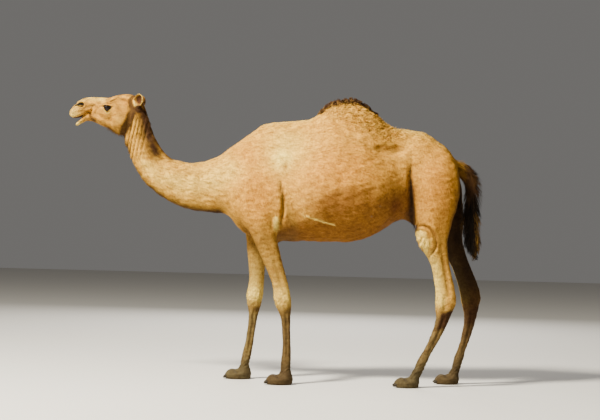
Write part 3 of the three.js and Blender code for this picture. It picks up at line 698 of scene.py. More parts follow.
def markings(points, out):
    """How much of each colour of the coat shows at each point, from 0 to 1; many of the dark and red marks are painted
    shade.
    """
    x, y, z = points.T
    flat, up = np.abs(y), out[:, 2]
    mark = {name: np.zeros(len(x)) for name in MARKS}

    def add(name, *shares):
        mark[name] = most(mark[name], *shares)

    def line(*rows):
        return line_share(points, *rows)

    spread = 0.030 + 0.062 * between(x, 0.20, 0.42, 0.46, 0.72) + 0.016 * ripple(points, 0.05, 61)
    crest = line(*CREST) * bell(flat, 0, spread)
    nape = line(*NAPE) * above(out[:, 0] * 0.8 + up * 0.6, -0.2, 0.7)
    throat = line(*THROAT) * above(-up - out[:, 0], 0.0, 1.0)
    face = 1 - above(past_neck(x, z), -0.16, -0.02)
    # dark flecks among the hump's curls: painted shade between the curls
    curl_gap_shade = above(ripple(points, 0.024, 71, (1.9, 1, 0.9)), 0.15, 0.55) * woolly(points)
    stipple = above(ripple(points, 0.017, 72, (1.7, 1, 1)), 0.35, 0.9) * (1 - face)

    # the tail: dark, with a pale streak down its tuft
    streak = line((1362, 1250, 10), (1376, 1140, 14), (1386, 1020, 16), (1392, 900, 18))
    streak = streak * (0.25 + 0.75 * above(ripple(points, 0.026, 77, (1, 1, 5.0)), -0.25, 0.35))
    tail = on_tail(points) * (1 - 0.75 * streak)
    tuft = (1 - above(z, 1.30, 1.46)) * (1 - 0.95 * streak)

    # neck and head, with painted shade in the folds, under the jaw and brow, in the nostrils, the mouth and the ears
    # painted shade on the underside of the neck
    neck_underside_shade = line((-1030, 1530, 50), (-940, 1360, 50), (-810, 1250, 50), (-670, 1180, 50), (-530, 1152, 50),
                      (-400, 1155, 40)) * above(-up, 0.1, 0.8)
    # dark hair behind the jaw, and painted shade where the neck meets the head
    jaw_back_hair_and_shade = above(line((-1004, 1952, 12), (-1026, 1908, 18), (-1014, 1865, 22), (-1002, 1840, 30),
                            (-1018, 1806, 30), (-1034, 1757, 32), (-1062, 1708, 34), (-1088, 1660, 30)), 0.05, 0.75)
    upper_neck = line((-935, 1840, 55), (-905, 1740, 75), (-880, 1650, 80), (-840, 1560, 60))
    # painted shade in the furrows between the neck's ridges
    neck_ridge_gap_shade = most(*[line((-975 + dx, 1800, 6), (-992 + dx, 1720, 6), (-1020 + dx, 1600, 6), (-1035 + dx, 1520, 6))
                         for dx in RIDGES]) * between(z, 1.47, 1.55, 1.80, 1.86)
    neck_pale = line((-930, 1500, 30), (-850, 1420, 60), (-720, 1360, 80), (-580, 1350, 90), (-450, 1380, 90),
                     (-330, 1450, 80))
    poll = above(near(points, (-962, 55, 1852), (40, 50, 36)), 0.1, 0.7)
    # painted shade below the jaw's ridge, under the jaw, in the mouth-corner and nose folds and under the brow
    shade_below_jaw_ridge = line((-1322, 1768, 6), (-1250, 1740, 8), (-1176, 1712, 10), (-1130, 1680, 12))
    shade_under_jaw = line((-1200, 1730, 12), (-1160, 1700, 22), (-1120, 1670, 30), (-1090, 1650, 30))
    mouth_corner_shade = line((-1325, 1822, 6), (-1305, 1815, 12), (-1298, 1795, 17), (-1285, 1775, 18), (-1265, 1760, 10))
    nose_crease_shade = line((-1345, 1848, 5), (-1320, 1850, 7), (-1298, 1858, 9), (-1276, 1868, 9), (-1262, 1874, 4))
    nose_bridge = line((-1410, 1900, 30), (-1330, 1925, 30), (-1220, 1925, 30))
    shade_under_brow = line((-1157, 1897, 6), (-1143, 1905, 9), (-1120, 1918, 6))
    nostril_flap = line((-1404, 1860, 4), (-1388, 1867, 6), (-1370, 1868, 5)) * (flat > 0.02)
    # painted shade in the nostril's slit and just below it
    slit = above(line((-1410, 1866, 3), (-1400, 1870, 7), (-1384, 1874, 10), (-1366, 1878, 11), (-1350, 1876, 7)),
                 0.15, 0.5) * (flat > 0.010)
    nostril_lower_shade = line((-1374, 1857, 4), (-1360, 1860, 6), (-1350, 1866, 6)) * (flat > 0.018)
    lips = 1 - above(x, -1.30, -1.285)
    # painted shade on the lips' inner faces, in the mouth gap
    mouth = most(above(-up, 0.45, 0.75) * above(x, -1.425, -1.415) * between(z, 1.775, 1.785, 1.83, 1.85),
                 above(up, 0.35, 0.65) * above(x, -1.402, -1.392) * between(z, 1.72, 1.73, 1.815, 1.83))
    mouth = mouth * lips * (1 - above(flat, 0.022, 0.034))
    gaps = [eye_gap(points, side) for side in SIDES]
    lids = most(*[np.where(forth > -0.01, inside, -1) for inside, forth, _ in gaps])
    ring = bell(lids, -0.013, 0.006) * above(-z, -1.85, -1.83)
    lid_edge = most(above(lids, -0.0070, -0.0030),
                    spots(points, (-1211, 82, 1862, 8, 30, 4, 1), (-1145, 90, 1861, 7, 30, 4, 1)))
    ear = in_ears(points, lambda a, b, o: (np.hypot(a / 0.046, b / 0.056) < 1) * (np.abs(o) < 0.03)) * (z > 1.865)
    # painted shade inside the ear cup
    shade_in_ear_cup = ear * in_ears(points, lambda a, b, o: above(o, -0.022, -0.016) * (o < 0.02)
                               * (1 - above(np.hypot(a / 0.031, (b - 0.002) / 0.041), 0.55, 1.0)))
    ear_rim = ear * in_ears(points, lambda a, b, o: above(o, -0.012, -0.004)
                            * bell(np.hypot(a / 0.036, (b - 0.002) / 0.047), 1, 0.16))

    # trunk and thighs; the dark lines in the folds, creases and grooves here are painted shade
    shade_in_flank_fold = line((900, 1490, 5), (909, 1410, 11), (915, 1320, 18), (922, 1220, 24), (934, 1130, 26),
                      (950, 1075, 22))
    shade_high_in_flank_fold = line((902, 1630, 4), (905, 1560, 5), (903, 1490, 6)) * (1 - above(z, 1.62, 1.65))
    shade_in_elbow_crease = line((18, 1380, 6), (26, 1340, 12), (40, 1280, 15), (48, 1213, 16), (43, 1145, 13), (32, 1080, 10))
    hump_groove_shade = line((480, 1695, 10), (560, 1655, 16), (630, 1622, 19), (720, 1598, 20), (800, 1600, 19), (880, 1625, 12))
    axilla_shade = line((60, 1240, 12), (82, 1170, 30), (105, 1090, 50), (125, 1010, 62))
    # painted shade in the groin, between the belly and the thighs
    groin = spots(points, (905, 90, 1040, 50, 100, 80, 1), (905, 180, 1130, 34, 200, 100, 1))
    # painted shade on the rear flank, the inner faces of the thighs and the backs of the thighs, turned from the key
    # light
    flank_rear_shade = near(points, (820, 220, 1220), (150, 250, 190))
    thigh_inner_shade = above(-out[:, 1] * np.sign(y), -0.1, 0.4) * above(x, 1.06, 1.15) * between(z, 0.50, 0.75, 1.38, 1.52)
    thigh_rear_shade = above(out[:, 0], 0.45, 0.95) * above(x, 1.10, 1.20) * between(z, 0.74, 0.95, 1.42, 1.56)
    stifle_fold_shade = line((935, 1075, 6), (965, 1094, 7), (1004, 1097, 7), (1052, 1066, 6), (1088, 1005, 6),
                         (1085, 945, 6), (1044, 895, 6))
    warped = points + np.stack([ripple(points, 0.05, 51), 0 * x, ripple(points, 0.05, 52)], axis=1) * 0.008
    stifle = above(spots(warped, (968, 190, 1040, 50, 140, 40, 1), (1008, 190, 990, 42, 140, 50, 1),
                         (1016, 190, 925, 24, 140, 36, 1)), 0.15, 0.75)
    elbow = above(near(points, (2, 210, 1090), (22, 120, 52)), 0.2, 0.6)
    shoulder = spots(points, (30, 200, 1540, 80, 200, 85, 1), (50, 200, 1600, 140, 250, 130, 0.5))
    whorl = spots(points, (50, 200, 1480, 13, 200, 26, 1), (30, 200, 1530, 10, 200, 16, 0.8))
    pale_line = (line((178, 1155, 3), (286, 1117, 4.2), (394, 1087, 3)) * (y < 0)
                 * between(x, 0.165, 0.19, 0.385, 0.40))
    above_belly = above(z, 0.86, 0.96)
    # deep red on the downward-facing belly and lower sides: partly the coat's own tone, partly painted shade
    belly = above(-up, 0.05, 0.65) * above(x, -0.30, 0.1) * above_belly
    lower_side_tone_and_shade = above(-up, -0.22, 0.22) * between(x, 0.10, 0.35, 0.93, 0.98) * above_belly

    for leg in LEGS:
        leg_marks(add, points, out, leg)
    # umber: dark hair of the crest, nape, throat, poll and tail and the face's tone, and painted shade in folds,
    # creases, hollows, under the neck and jaw and on the thighs
    add("umber", above(crest, 0.15, 0.5), nape * 0.9, throat * 0.9, neck_underside_shade, jaw_back_hair_and_shade * 0.95, poll, tail,
        mouth_corner_shade * 0.9, nose_crease_shade * 0.8, shade_under_brow * 0.9, shade_under_jaw * 0.8, neck_ridge_gap_shade * 0.85, shade_in_flank_fold,
        shade_in_elbow_crease * 0.75, groin, thigh_inner_shade * 0.95, thigh_rear_shade * 0.75, upper_neck,
        face * (0.39 + 0.17 * ripple(points, 0.045, 74)), flank_rear_shade * 0.28, axilla_shade * 0.42,
        hump_groove_shade * (0.25 + 0.25 * curl_gap_shade), shade_high_in_flank_fold * 0.5, curl_gap_shade * 0.46, stipple * 0.16,
        shade_below_jaw_ridge * 0.75, stifle_fold_shade * 0.6)
    add("pale", shoulder * (1 - whorl), neck_pale * 0.40, nose_bridge * 0.55, nostril_flap, ring * 0.7,
        spots(points, (-1420, 0, 1800, 50, 200, 50, 0.8), (-1390, 0, 1740, 35, 200, 30, 1),
              (-1100, 70, 1760, 50, 100, 50, 0.12)),
        # the 0.35 share on upward-facing surfaces of the back and neck is a painted highlight
        stifle * 0.85, elbow, ear_rim * 0.9, 0.35 * above(up, 0.7, 1.0) * (1 - face) * above(z, 1.4, 1.6), pale_line)
    # deep red: partly the belly's own tone, and painted shade under the body, on the rear flank and in the stifle
    # creases
    add("flush", belly * 0.86, flank_rear_shade, lower_side_tone_and_shade * 0.82, stifle_fold_shade * 0.7,
        spots(points, (1150, 200, 1250, 100, 300, 300, 0.42)))
    add("tawny", face * 0.45,
        spots(points, (450, 250, 1450, 400, 300, 260, 1), (1080, 180, 1360, 180, 200, 320, 1),
              (-120, 180, 1280, 170, 200, 240, 1), (-220, 200, 1560, 200, 250, 160, 0.85),
              (400, 200, 1720, 250, 200, 120, 0.5), (-1385, 45, 1822, 30, 50, 22, 1),
              (-1050, 70, 1900, 60, 80, 50, 0.9)))
    # near black: the tail tuft and lid edges in their own colour, and painted shade in the nostril, on the inner
    # thighs, in the flank fold and in the groin
    add("ink", slit, nostril_lower_shade * 0.8, tuft * tail, lid_edge, thigh_inner_shade * 0.62, shade_in_flank_fold ** 2 * 0.45,
        groin ** 2 * 0.4)
    # brown: the shoulder whorl's own colour, and painted shade inside the ears and the mouth
    add("brown", shade_in_ear_cup, whorl * 0.45, mouth)
    mark.update(crest=crest, nape=nape, throat=throat, face=face, hard=above(-z, -0.105, -0.06))
    return {name: np.clip(value, 0, 1) for name, value in mark.items()}


marks = markings(clay.points, clay.out)
tail_hair = on_tail(clay.points)
tail_depth = 0.006 + 0.012 * (1 - above(clay.points[:, 2], 1.15, 1.27))
coat_depth = (0.004 * (1 - marks["face"] * 0.7) * (1 - 0.6 * marks["dust"]) * (1 - marks["hard"])
              + 0.020 * marks["crest"] + 0.005 * marks["nape"] + 0.004 * marks["throat"] + tail_depth * tail_hair)
clay.rise(-coat_depth)
clay.settle()

# the skin's own unwrap
take(skin)
bpy.ops.object.shade_smooth()
edit()
pick()
bpy.ops.uv.smart_project(angle_limit=math.radians(70), island_margin=0.004)
edit(False)
skin.data.uv_layers.active.name = "OFBake"


def paint_marks(thing, values, strand, tip):
    """What the coat's material reads: the markings, each lock's own tone and the height in the coat."""
    for key in MARKS:
        paint_value(thing, key, values[key])
    paint_value(thing, "strand", strand)
    paint_value(thing, "tip", tip)


paint_marks(skin, marks, np.full(len(clay.points), 0.5), np.full(len(clay.points), 0.35))

# ------------------------------------------------------------------ the lie of the coat
LIE = [  # place (x, z) and the way that the hair points there (x, z)
    (-1.42, 1.87, 0.8, 0.5), (-1.30, 1.91, 1, 0.1), (-1.15, 1.93, 1, 0.2), (-1.03, 1.95, 1, 0), (-1.36, 1.82, 1, 0),
    (-1.38, 1.75, 1, 0.2), (-1.22, 1.76, 1, -0.1), (-1.12, 1.80, 0.8, -0.5), (-0.95, 1.88, 0.6, -0.8),
    (-1.02, 1.70, 0.2, -1), (-0.90, 1.70, 0.35, -1), (-0.98, 1.50, 0.5, -1), (-0.82, 1.42, 0.8, -0.7),
    (-0.60, 1.32, 1, -0.35), (-0.45, 1.22, 1, -0.4), (-0.45, 1.48, 1, 0.05), (-0.30, 1.62, 0.9, 0.15),
    (-0.15, 1.50, 0.5, -0.9), (-0.20, 1.20, 0.2, -1), (0.10, 1.78, 1, -0.1), (0.10, 1.55, 0.7, -0.7),
    (0.05, 1.25, 0.3, -1), (0.35, 1.40, 0.75, -0.65), (0.40, 1.02, 1, -0.15), (0.27, 1.82, 0.7, 0.5),
    (0.40, 1.75, 0.9, 0.1), (0.48, 1.97, 1, 0.1), (0.60, 1.90, 0.8, -0.4), (0.70, 1.75, 0.9, -0.45),
    (0.62, 1.25, 0.85, -0.5), (0.85, 1.74, 1, -0.1), (0.88, 1.45, 0.4, -0.9), (1.08, 1.62, 0.5, -0.8),
    (1.08, 1.30, 0.1, -1), (1.15, 1.45, 0.3, -1), (1.0, 1.0, 0, -1), (0.0, 0.9, 0, -1), (0.0, 0.5, 0, -1),
    (0.1, 0.2, 0, -1), (-0.15, 0.6, 0, -1), (-0.2, 0.2, 0, -1), (1.15, 0.7, 0, -1), (1.05, 0.3, 0, -1),
    (1.30, 0.7, 0, -1), (1.28, 0.3, 0, -1), (1.34, 1.4, 0.1, -1), (1.36, 1.0, 0.05, -1),
]


def lie_of_coat(points, out, swirl):
    """The way that the hair lies at each point, along the skin and turned by "swirl"."""
    table = np.array(LIE)
    off = points[:, None, (0, 2)] - table[None, :, :2]
    weight = 1 / ((off ** 2).sum(2) + 0.03 ** 2) ** 1.5
    flow = (weight[:, :, None] * unit(table[:, 2:])[None]).sum(1) / weight.sum(1)[:, None]
    way = np.stack([flow[:, 0], np.zeros(len(points)), flow[:, 1]], axis=1)
    way -= out * (way * out).sum(1)[:, None]
    way[lengths(way) < 0.05] += (0.04, 0, -0.1)
    way -= out * (way * out).sum(1)[:, None]
    way = unit(way, 1e-9)
    return way * np.cos(swirl)[:, None] + np.cross(out, way) * np.sin(swirl)[:, None]


class Soil:
    """The skin's triangles, to root the coat in."""

    def __init__(self, thing, values):
        mesh = thing.data
        mesh.calc_loop_triangles()
        self.corners = read(mesh.loop_triangles, "vertices", 3, np.int32)
        self.patch = read(mesh.uv_layers["OFBake"].data, "uv", 2)[read(mesh.loop_triangles, "loops", 3, np.int32)]
        self.points, self.out, self.values = points_of(thing), outward(thing), values
        a, b, c = (self.points[self.corners[:, k]] for k in range(3))
        self.area = lengths(np.cross(b - a, c - a)) / 2
        self.middle = (a + b + c) / 3
        self.facing = self.out[self.corners].mean(1)

    def at_middles(self, values):
        return values[self.corners].mean(1)

    def sow(self, per_metre):
        """Evenly strewn roots, so many to a square metre of each triangle."""
        amount = np.cumsum(self.area * per_metre)
        steps = np.arange(chance.random(), amount[-1], 1.0)
        tri = np.searchsorted(amount, steps)
        one, two = chance.random((2, len(tri)))
        fold = one + two > 1
        one[fold], two[fold] = 1 - one[fold], 1 - two[fold]
        share = np.stack([1 - one - two, one, two], axis=1)[:, :, None]
        pick = self.corners[tri]
        return {
            "root": (self.points[pick] * share).sum(1),
            "out": unit((self.out[pick] * share).sum(1)),
            "patch": (self.patch[tri] * share).sum(1),
            "marks": {key: (value[pick] * share[:, :, 0]).sum(1) for key, value in self.values.items()},
        }


PATCH = 0.003  # the side of a lock's patch on the skin's unwrap


def locks(name, bed, long, wide, stand, swirl, rows=2, coil=0.0, turns=0.0, fall=None, root_shade=0.0):
    """A coat of thin three-sided locks, each rooted in the skin and laid along the coat's way."""
    root, out = bed["root"], bed["out"]
    many = len(root)
    lit = bed.get("lit", out)
    way = lie_of_coat(root, out, swirl) if fall is None else fall
    across = unit(np.cross(out, way), 1e-9)
    phase = chance.uniform(0, 6.28, many)

    def column(value):
        return np.broadcast_to(value, (many,))[:, None]

    def centre(t):
        turn = (phase + turns * 2 * math.pi * t)[:, None]
        curl = (across * (np.cos(turn) - np.cos(phase)[:, None])
                + out * (np.sin(turn) - np.sin(phase)[:, None]) * 0.7)
        straight = way * column(long) * t * (0.75 if turns else 1) + out * column(stand) * math.sin(t * math.pi / 2)
        return root + straight + curl * column(coil) * min(1, t * 3)

    rings, facings = [], []
    for k in range(rows):
        t = k / rows
        full = 1.0 if rows == 1 else math.sin(math.pi * min(0.5, 0.3 + t * 0.4)) * (1 - t) ** 0.35
        middle = centre(t)
        if k == 0:
            middle = middle - out * column(wide) * 0.3
        half = column(wide) * 0.5 * full
        rings += [middle - across * half, middle + out * half * 0.55, middle + across * half]
        facings += [lit - across * 0.55, lit, lit + across * 0.55]
    each = rows * 3 + 1
    points = np.stack(rings + [centre(1)], axis=1).reshape(-1, 3)
    faces = [(0, 2, 1)]
    for k in range(rows - 1):
        for i in range(3):
            j = (i + 1) % 3
            faces += [(k * 3 + i, k * 3 + j, k * 3 + 3 + j), (k * 3 + i, k * 3 + 3 + j, k * 3 + 3 + i)]
    last = (rows - 1) * 3
    faces += [(last, last + 1, each - 1), (last + 1, last + 2, each - 1), (last + 2, last, each - 1)]
    faces = np.array(faces, np.int32)[:, ::-1]
    index = (np.arange(many, dtype=np.int32)[:, None, None] * each + faces[None]).reshape(-1)
    mesh = bpy.data.meshes.new(name)
    mesh.vertices.add(len(points))
    mesh.vertices.foreach_set("co", points.astype(np.float32).ravel())
    mesh.loops.add(len(index))
    mesh.loops.foreach_set("vertex_index", index)
    mesh.polygons.add(len(index) // 3)
    mesh.polygons.foreach_set("loop_start", np.arange(0, len(index), 3, dtype=np.int32))
    mesh.polygons.foreach_set("use_smooth", np.ones(len(index) // 3, bool))
    mesh.update()
    laid = [(aside * 0.0013, k / rows * PATCH - PATCH / 2) for k in range(rows) for aside in (-1, 0, 1)]
    spread = (bed["patch"][:, None] + np.array(laid + [(0, PATCH / 2)])[None]).reshape(-1, 2)
    facing = np.stack(facings + [lit + way * 0.3], axis=1).reshape(-1, 3)
    mesh.normals_split_custom_set_from_vertices(unit(facing).astype(np.float32))
    mesh.uv_layers.new(name="OFBake").data.foreach_set("uv", spread[index].astype(np.float32).ravel())
    mesh.update()
    thing = bpy.data.objects.new(name, mesh)
    bpy.context.scene.collection.objects.link(thing)
    height = np.tile(np.append(np.repeat(np.arange(rows) / rows, 3), 1.0), many)
    height = height - root_shade * (1 - height) + root_shade * 0.4 * height
    paint_marks(thing, {key: np.repeat(bed["marks"][key], each) for key in MARKS},
                np.repeat(chance.random(many), each), height)
    return thing


# ------------------------------------------------------------------ the short coat
soil = Soil(skin, marks)
middle, facing = soil.middle, soil.facing
share = {key: soil.at_middles(value) for key, value in marks.items()}
share["tail_hair"] = soil.at_middles(tail_hair)
leg_low = 1 - above(middle[:, 2], 0.75, 1.05)
eye_here = (above(most(*[eye_gap(middle, side)[0] for side in SIDES]), -0.010, -0.006)
            * near(middle, EYE, (50, 50, 50)))
bare = most(share["hard"], eye_here, share["ink"] * (1 - share["tail_hair"]))
elbow_bare = soil.at_middles(above(near(clay.points, (2, 210, 1090), (22, 120, 52)), 0.3, 0.7))
ear_edge = in_ears(middle, lambda a, b, o: (np.abs(np.hypot(a / 0.036, (b - 0.002) / 0.047) - 1) < 0.24)
                   * (np.abs(o) < 0.03) * (b > -0.030))
BODY_DENSE, LEG_DENSE, FACE_DENSE = 36000, 52000, 105000  # locks to a square metre
dense = BODY_DENSE * (1 - leg_low) + LEG_DENSE * leg_low
dense = dense * (1 - share["face"]) + FACE_DENSE * share["face"]
dense = dense * (1 - ear_edge) * (1 - 0.6 * above(near(middle, (-965, 65, 1910), (55, 50, 55)), 0.15, 0.5))
dense = dense * (1 - bare) * (1 - share["tail_hair"]) * (1 - 0.9 * share["crest"]) * (1 - 0.85 * elbow_bare)


def body_coat(name, inside):
    bed = soil.sow(dense * inside)
    root = bed["root"]
    at = bed["marks"] = markings(root, bed["out"])
    face, leg, curly = at["face"], 1 - above(root[:, 2], 0.75, 1.05), woolly(root)
    neck = line_share(root, (-1000, 1750, 140), (-900, 1500, 160), (-700, 1350, 180), (-500, 1330, 200)) * (1 - face)

    def by_place(on_body, on_leg, on_face):
        return (on_body * (1 - leg) + on_leg * leg) * (1 - face) + on_face * face

    relief = (0.0013 + 0.0034 * curly + 0.0006 * neck) * (1 - leg) * (1 - face) + 0.0007 * leg + 0.0003 * face
    high, climb = waves(root, 0.026, 21, (1.7, 1, 1))
    higher, steeper = waves(root, 0.055, 22, (1.5, 1, 1))
    bed["root"] = root + bed["out"] * ((high + higher * 0.8) * relief * 0.5)[:, None]
    bed["lit"] = bed["out"] - (climb + steeper * 0.8) * relief[:, None]
    long = by_place(0.021 + 0.009 * neck, 0.011, 0.0080) * chance.uniform(0.7, 1.3, len(root))
    stand = by_place(0.0028 + 0.002 * curly + 0.0015 * neck, 0.0016, 0.0008) * chance.uniform(0.4, 1.7, len(root))
    swirl = (ripple(root, 0.05, 3) * (0.20 + 0.7 * curly) + ripple(root, 0.30, 4) * 0.15
             + chance.normal(0, 0.12 + 0.2 * curly))
    return locks(name, bed, long, by_place(0.0031, 0.0022, 0.0012), stand, swirl, rows=1)


before, hind = middle[:, 0] < -0.35, middle[:, 0] > 0.62
left, legs_here, on_face = facing[:, 1] < 0, middle[:, 2] < 0.95, share["face"] > 0.5
COATS = {
    "coat_face": before & on_face,
    "coat_neck": before & ~on_face & ~legs_here,
    "coat_side_left": ~before & ~hind & left & ~legs_here,
    "coat_side_right": ~before & ~hind & ~left & ~legs_here,
    "coat_rump_left": ~before & hind & left & ~legs_here,
    "coat_rump_right": ~before & hind & ~left & ~legs_here,
    "coat_forelegs": legs_here & ~hind,
    "coat_hindlegs": legs_here & hind,
}
coats = [body_coat(name, inside.astype(float)) for name, inside in COATS.items()]

# ------------------------------------------------------------------ the long hair
# curls over the hump and the loin; some curls are painted dark and all have darker roots, as painted shade between the
# curls
bed = soil.sow(17000 * soil.at_middles(above(woolly(clay.points), 0.18, 0.60)) * (1 - share["crest"]))
many = len(bed["root"])
high, climb = waves(bed["root"], 0.026, 23, (1.5, 1, 1))
bed["root"] = bed["root"] + bed["out"] * (high * 0.002)[:, None]
bed["lit"] = bed["out"] - climb * 0.0030
# painted shade between the curls: about a quarter of them are dark
bed["marks"]["umber"] = np.where(chance.random(many) < 0.28, chance.uniform(0.45, 0.8, many), 0.0)
coats.append(locks("hump_curls", bed, chance.uniform(0.013, 0.021, many), 0.0050,
                   0.0030 + 0.0042 * above(high, -0.5, 0.8),
                   ripple(bed["root"], 0.05, 3) * 0.9 + chance.normal(0, 0.25, many), rows=4,
                   coil=chance.uniform(0.002, 0.004, many), turns=0.8, root_shade=2.5))

# the dark hair of the throat
bed = soil.sow(9000 * above(share["throat"], 0.25, 0.7))
many = len(bed["root"])
fall = unit(np.array((0.25, 0, -1.0)) + bed["out"] * 0.45 + chance.normal(0, 0.12, (many, 3)))
coats.append(locks("throat_hair", bed, chance.uniform(0.012, 0.026, many), 0.0030, 0.003, None, rows=3, coil=0.002,
                   turns=0.4, fall=fall))

# the woolly crest of the hump, in small coiled locks
bed = soil.sow(40000 * above(share["crest"], 0.15, 0.5))
many = len(bed["root"])
clump = above(ripple(bed["root"], 0.035, 11), -0.6, 0.7)
bed["marks"]["umber"] = most(bed["marks"]["umber"], chance.uniform(0.82, 1.0, many))
bed["marks"]["pale"] = bed["marks"]["pale"] * 0.2
coats.append(locks("hump_crest_wool", bed, chance.uniform(0.014, 0.028, many), 0.0070,
                   (0.007 + 0.017 * clump) * chance.uniform(0.7, 1.2, many), ripple(bed["root"], 0.04, 12) * 1.5,
                   rows=7, coil=chance.uniform(0.004, 0.008, many), turns=1.1))

# the tail's long hair
bed = soil.sow(34000 * share["tail_hair"])
many = len(bed["root"])
height = bed["root"][:, 2]
fall = np.array((0.05, 0.0, -1.0)) + np.array((0.75, 0, 0.1)) * above(height, 1.36, 1.48)[:, None]
fall = unit(fall + chance.normal(0, 0.06, (many, 3)) + bed["out"] * (0.16 + 0.14 * above(height, 1.10, 1.30))[:, None])
reach_down = np.clip((height - 0.86) * 0.8, 0.02, 0.19) * chance.uniform(0.6, 1.1, many)
coats.append(locks("tail_tuft_hair", bed, reach_down * (1 - 0.45 * above(height, 1.34, 1.48)), 0.0062,
                   chance.uniform(0.006, 0.022, many), None, rows=5, coil=0.005, turns=0.8, fall=fall))


# ------------------------------------------------------------------ eyes, lashes and nails
def sphere(name, **settings):
    let_go()
    bpy.ops.mesh.primitive_uv_sphere_add(**settings)
    ball = made_here(name)
    bpy.ops.object.transform_apply(location=True, rotation=True, scale=True)
    bpy.ops.object.shade_smooth()
    return ball, points_of(ball)


def eyeball(side):
    look, ahead, up = eye_axes(side)
    centre = eye_middle(side)
    ball, points = sphere(f"{side}_eyeball", segments=64, ring_count=40, radius=EYE_SIZE, location=centre,
                          rotation=Vector(look).to_track_quat("Z", "Y").to_euler())
    off = points - centre
    bulge = above(off @ look / EYE_SIZE, 0.72, 0.95)
    set_points(ball, points + look * (0.0012 * bulge)[:, None])
    for key, value in (("iris_ahead", off @ ahead), ("iris_up", off @ up)):
        paint_value(ball, key, np.where(off @ look > 0, value / EYE_SIZE, 2.0))
    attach(ball, "root")
    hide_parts(f"{side}_eye")
    return ball


def lashes(side):
    """Long upper and short lower lashes, rooted on the edges of the lids."""
    look, ahead, up = eye_axes(side)
    rows = []
    for upper, many in ((True, 46), (False, 26)):
        span = np.linspace(-0.93, 0.93, many) + chance.uniform(-0.015, 0.015, many)
        s = 0.001 + span * LID_SPAN
        t = lid_lines(s)[0 if upper else 1] + (0.0004 if upper else -0.0004)
        deep = np.sqrt(np.maximum((EYE_SIZE + 0.0030) ** 2 - s ** 2 - t ** 2, 1e-6))
        root = eye_middle(side) + s[:, None] * ahead + t[:, None] * up + deep[:, None] * look
        fall = unit(look + ahead * (span * 0.55)[:, None] + up * (-0.42 if upper else -0.55))
        long = ((0.017 - 0.005 * np.abs(span)) * chance.uniform(0.85, 1.1, many) if upper
                else 0.008 * chance.uniform(0.7, 1.1, many))
        rows.append((root, np.tile(up, (many, 1)), fall, long))
    root, out, fall, long = (np.concatenate(part) for part in zip(*rows))
    nearest = [np.argmin(((soil.middle - at) ** 2).sum(1)) for at in root]
    bed = {"root": root, "out": out, "patch": soil.patch[nearest].mean(1),
           "marks": {key: np.full(len(root), float(key == "ink")) for key in MARKS}}
    return locks(f"{side}_lashes", bed, long, 0.0011, 0.002, None, rows=4, fall=fall)


def toenail(node):
    """A broad curved horn nail, sunk in the front of a toe."""
    low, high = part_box(node)
    centre, size = (low + high) / 2, (high - low) / 2
    nail, points = sphere(node.replace("_nail_", "_toenail_"), segments=40, ring_count=24, radius=1,
                          location=centre + Vector((0.006, 0, -0.003)), rotation=(0, math.radians(-32), 0),
                          scale=(size.x * 0.92, size.y * 0.84, size.z * 0.58))
    ahead, aside, up = (points - np.array(centre)).T * np.array(((-1,), (1,), (1,)))
    points[:, 0] -= 0.005 * above(-up, -0.002, 0.012) * above(ahead, 0.0, 0.012)
    points[:, 0] -= 0.0006 * np.sin(aside / 0.0016) * above(ahead, 0.0, 0.01)
    points[:, 2] = np.maximum(points[:, 2], 0.003)
    set_points(nail, points)
    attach(nail, "root")
    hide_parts(node)
    return nail


eyes = [eyeball(side) for side in SIDES]
coats += [lashes(side) for side in SIDES]
nails = [toenail(node) for node in sorted(frame["nodes"]) if "_nail_" in node]


# ------------------------------------------------------------------ finishes
class Level:
    """A value that varies over a surface; arithmetic on it adds Math nodes."""

    def __init__(self, finish, socket):
        self.finish, self.socket = finish, socket

    def __add__(self, other): return self.finish.count("ADD", self, other)
    def __radd__(self, other): return self.finish.count("ADD", other, self)
    def __sub__(self, other): return self.finish.count("SUBTRACT", self, other)
    def __rsub__(self, other): return self.finish.count("SUBTRACT", other, self)
    def __mul__(self, other): return self.finish.count("MULTIPLY", self, other)
    def __rmul__(self, other): return self.finish.count("MULTIPLY", other, self)
    def __pow__(self, other): return self.finish.count("POWER", self, other)


